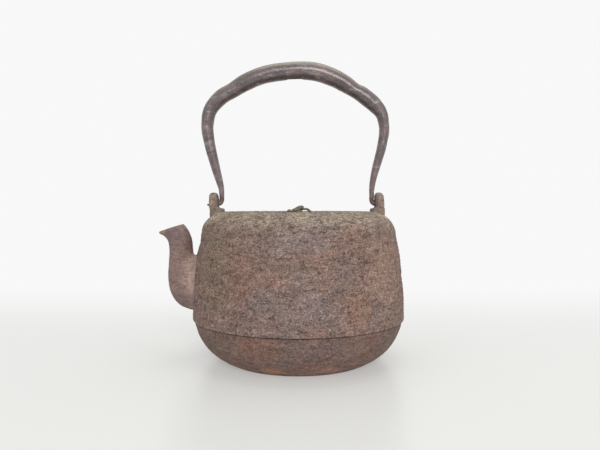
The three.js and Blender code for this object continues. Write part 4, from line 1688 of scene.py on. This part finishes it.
@dataclass
class Studio:
    """The pale floor, the soft light and the camera.

    A lamp has its name, its place, the length of its side and its power in watts.
    """

    eye: Triple = (1.17 * MM, -433 * MM, 112.7 * MM)
    tilt: float = math.radians(-1.88)
    focal: float = 34.8
    sensor: float = 36
    floor_radius: float = 30
    floor_colour: Triple = (0.90, 0.915, 0.855)
    floor_roughness: float = 0.3
    far_colour: Triple = (0.94, 0.94, 0.94)
    fade: Pair = (0.4, 1.1)
    fade_back: Pair = (0.0, 0.38)
    glow: float = 0.33
    ambient: float = 0.4
    aim: Triple = (0, 0, 90 * MM)
    lamps: Tuple[Tuple[str, Triple, float, float], ...] = (
        ("overhead", (0.1, 0.15, 1.1), 0.9, 3),
        ("front_high", (0.2, -1.5, 0.75), 0.5, 9),
        ("front_left", (-0.9, -0.9, 0.8), 0.7, 1.5),
        ("front_right", (1.0, -0.8, 0.7), 0.7, 2),
    )

    def camera(self) -> None:
        """Put the camera where the photograph was taken from."""
        data = bpy.data.cameras.new("camera")
        data.lens = self.focal
        data.sensor_width = self.sensor
        data.clip_start = 0.01
        made = add_object("camera", data)
        made.location = self.eye
        made.rotation_euler = (math.pi / 2 + self.tilt, 0, 0)
        bpy.context.scene.camera = made

    def floor(self) -> None:
        """Lay a wide floor that pales into the backdrop away from the kettle."""
        g = Skin("floor_paper")
        far = g.length(g.place).band(*self.fade).at_least(g.coordinate(1).band(*self.fade_back))
        sockets = {
            "Base Color": self.floor_colour,
            "Roughness": self.floor_roughness,
            "Specular IOR Level": 1.0,
        }
        paper = g.node("ShaderNodeBsdfPrincipled", sockets)
        light = g.node("ShaderNodeEmission", {"Color": self.far_colour, "Strength": 1.0})
        g.end("ShaderNodeOutputMaterial", far * (1 - self.glow) + self.glow, paper, light)
        bm = bmesh.new()
        bmesh.ops.create_circle(bm, cap_ends=True, radius=self.floor_radius, segments=96)
        add_mesh("floor", bm, g.material)

    def world(self) -> None:
        """Light the kettle evenly from all round, with a pale background for the camera."""
        world = bpy.data.worlds.new("studio")
        bpy.context.scene.world = world
        g = Graph(world)
        rays = g.node("ShaderNodeLightPath").outputs
        seen = Value(g, rays["Is Camera Ray"]) + rays["Is Glossy Ray"] + rays["Is Transmission Ray"]
        dim = g.node("ShaderNodeBackground", {"Color": (1.0, 1.0, 1.0), "Strength": self.ambient})
        pale = g.node("ShaderNodeBackground", {"Color": self.far_colour, "Strength": 1.0})
        g.end("ShaderNodeOutputWorld", seen.at_most(1.0), dim, pale)

    def light(self) -> None:
        """Hang the square soft lights, which face the kettle."""
        for name, place, size, power in self.lamps:
            data = bpy.data.lights.new(name, "AREA")
            data.shape = "SQUARE"
            data.size = size
            data.energy = power
            made = add_object(name, data)
            made.location = place
            made.rotation_euler = (Vector(self.aim) - Vector(place)).to_track_quat("-Z", "Y").to_euler()

    def dress(self) -> None:
        """Set up the whole studio."""
        self.camera()
        self.floor()
        self.world()
        self.light()
        bpy.context.scene.view_settings.view_transform = "Standard"


def main() -> None:
    """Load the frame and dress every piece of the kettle."""
    logging.basicConfig(level=logging.INFO, format="%(message)s")
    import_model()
    Studio().dress()
    shell = UpperShell()
    spout = Spout(shell)
    shell.dress(SHELL_FINISH.build(), spout.hole())
    BottomBowl(shell).dress(BASE_FINISH.build())
    spout.dress(SPOUT_FINISH.build())
    lug_iron = LUG_FINISH.build()
    lugs = [Lug(shell, side) for side in Side]
    for lug in lugs:
        lug.dress(lug_iron)
    Handle(lugs[0]).dress(HANDLE_FINISH.build())
    lid = Lid(shell)
    lid.dress(LID_FINISH.build())
    Knob(lid).dress(KNOB_FINISH.build())


if __name__ == "__main__":
    main()
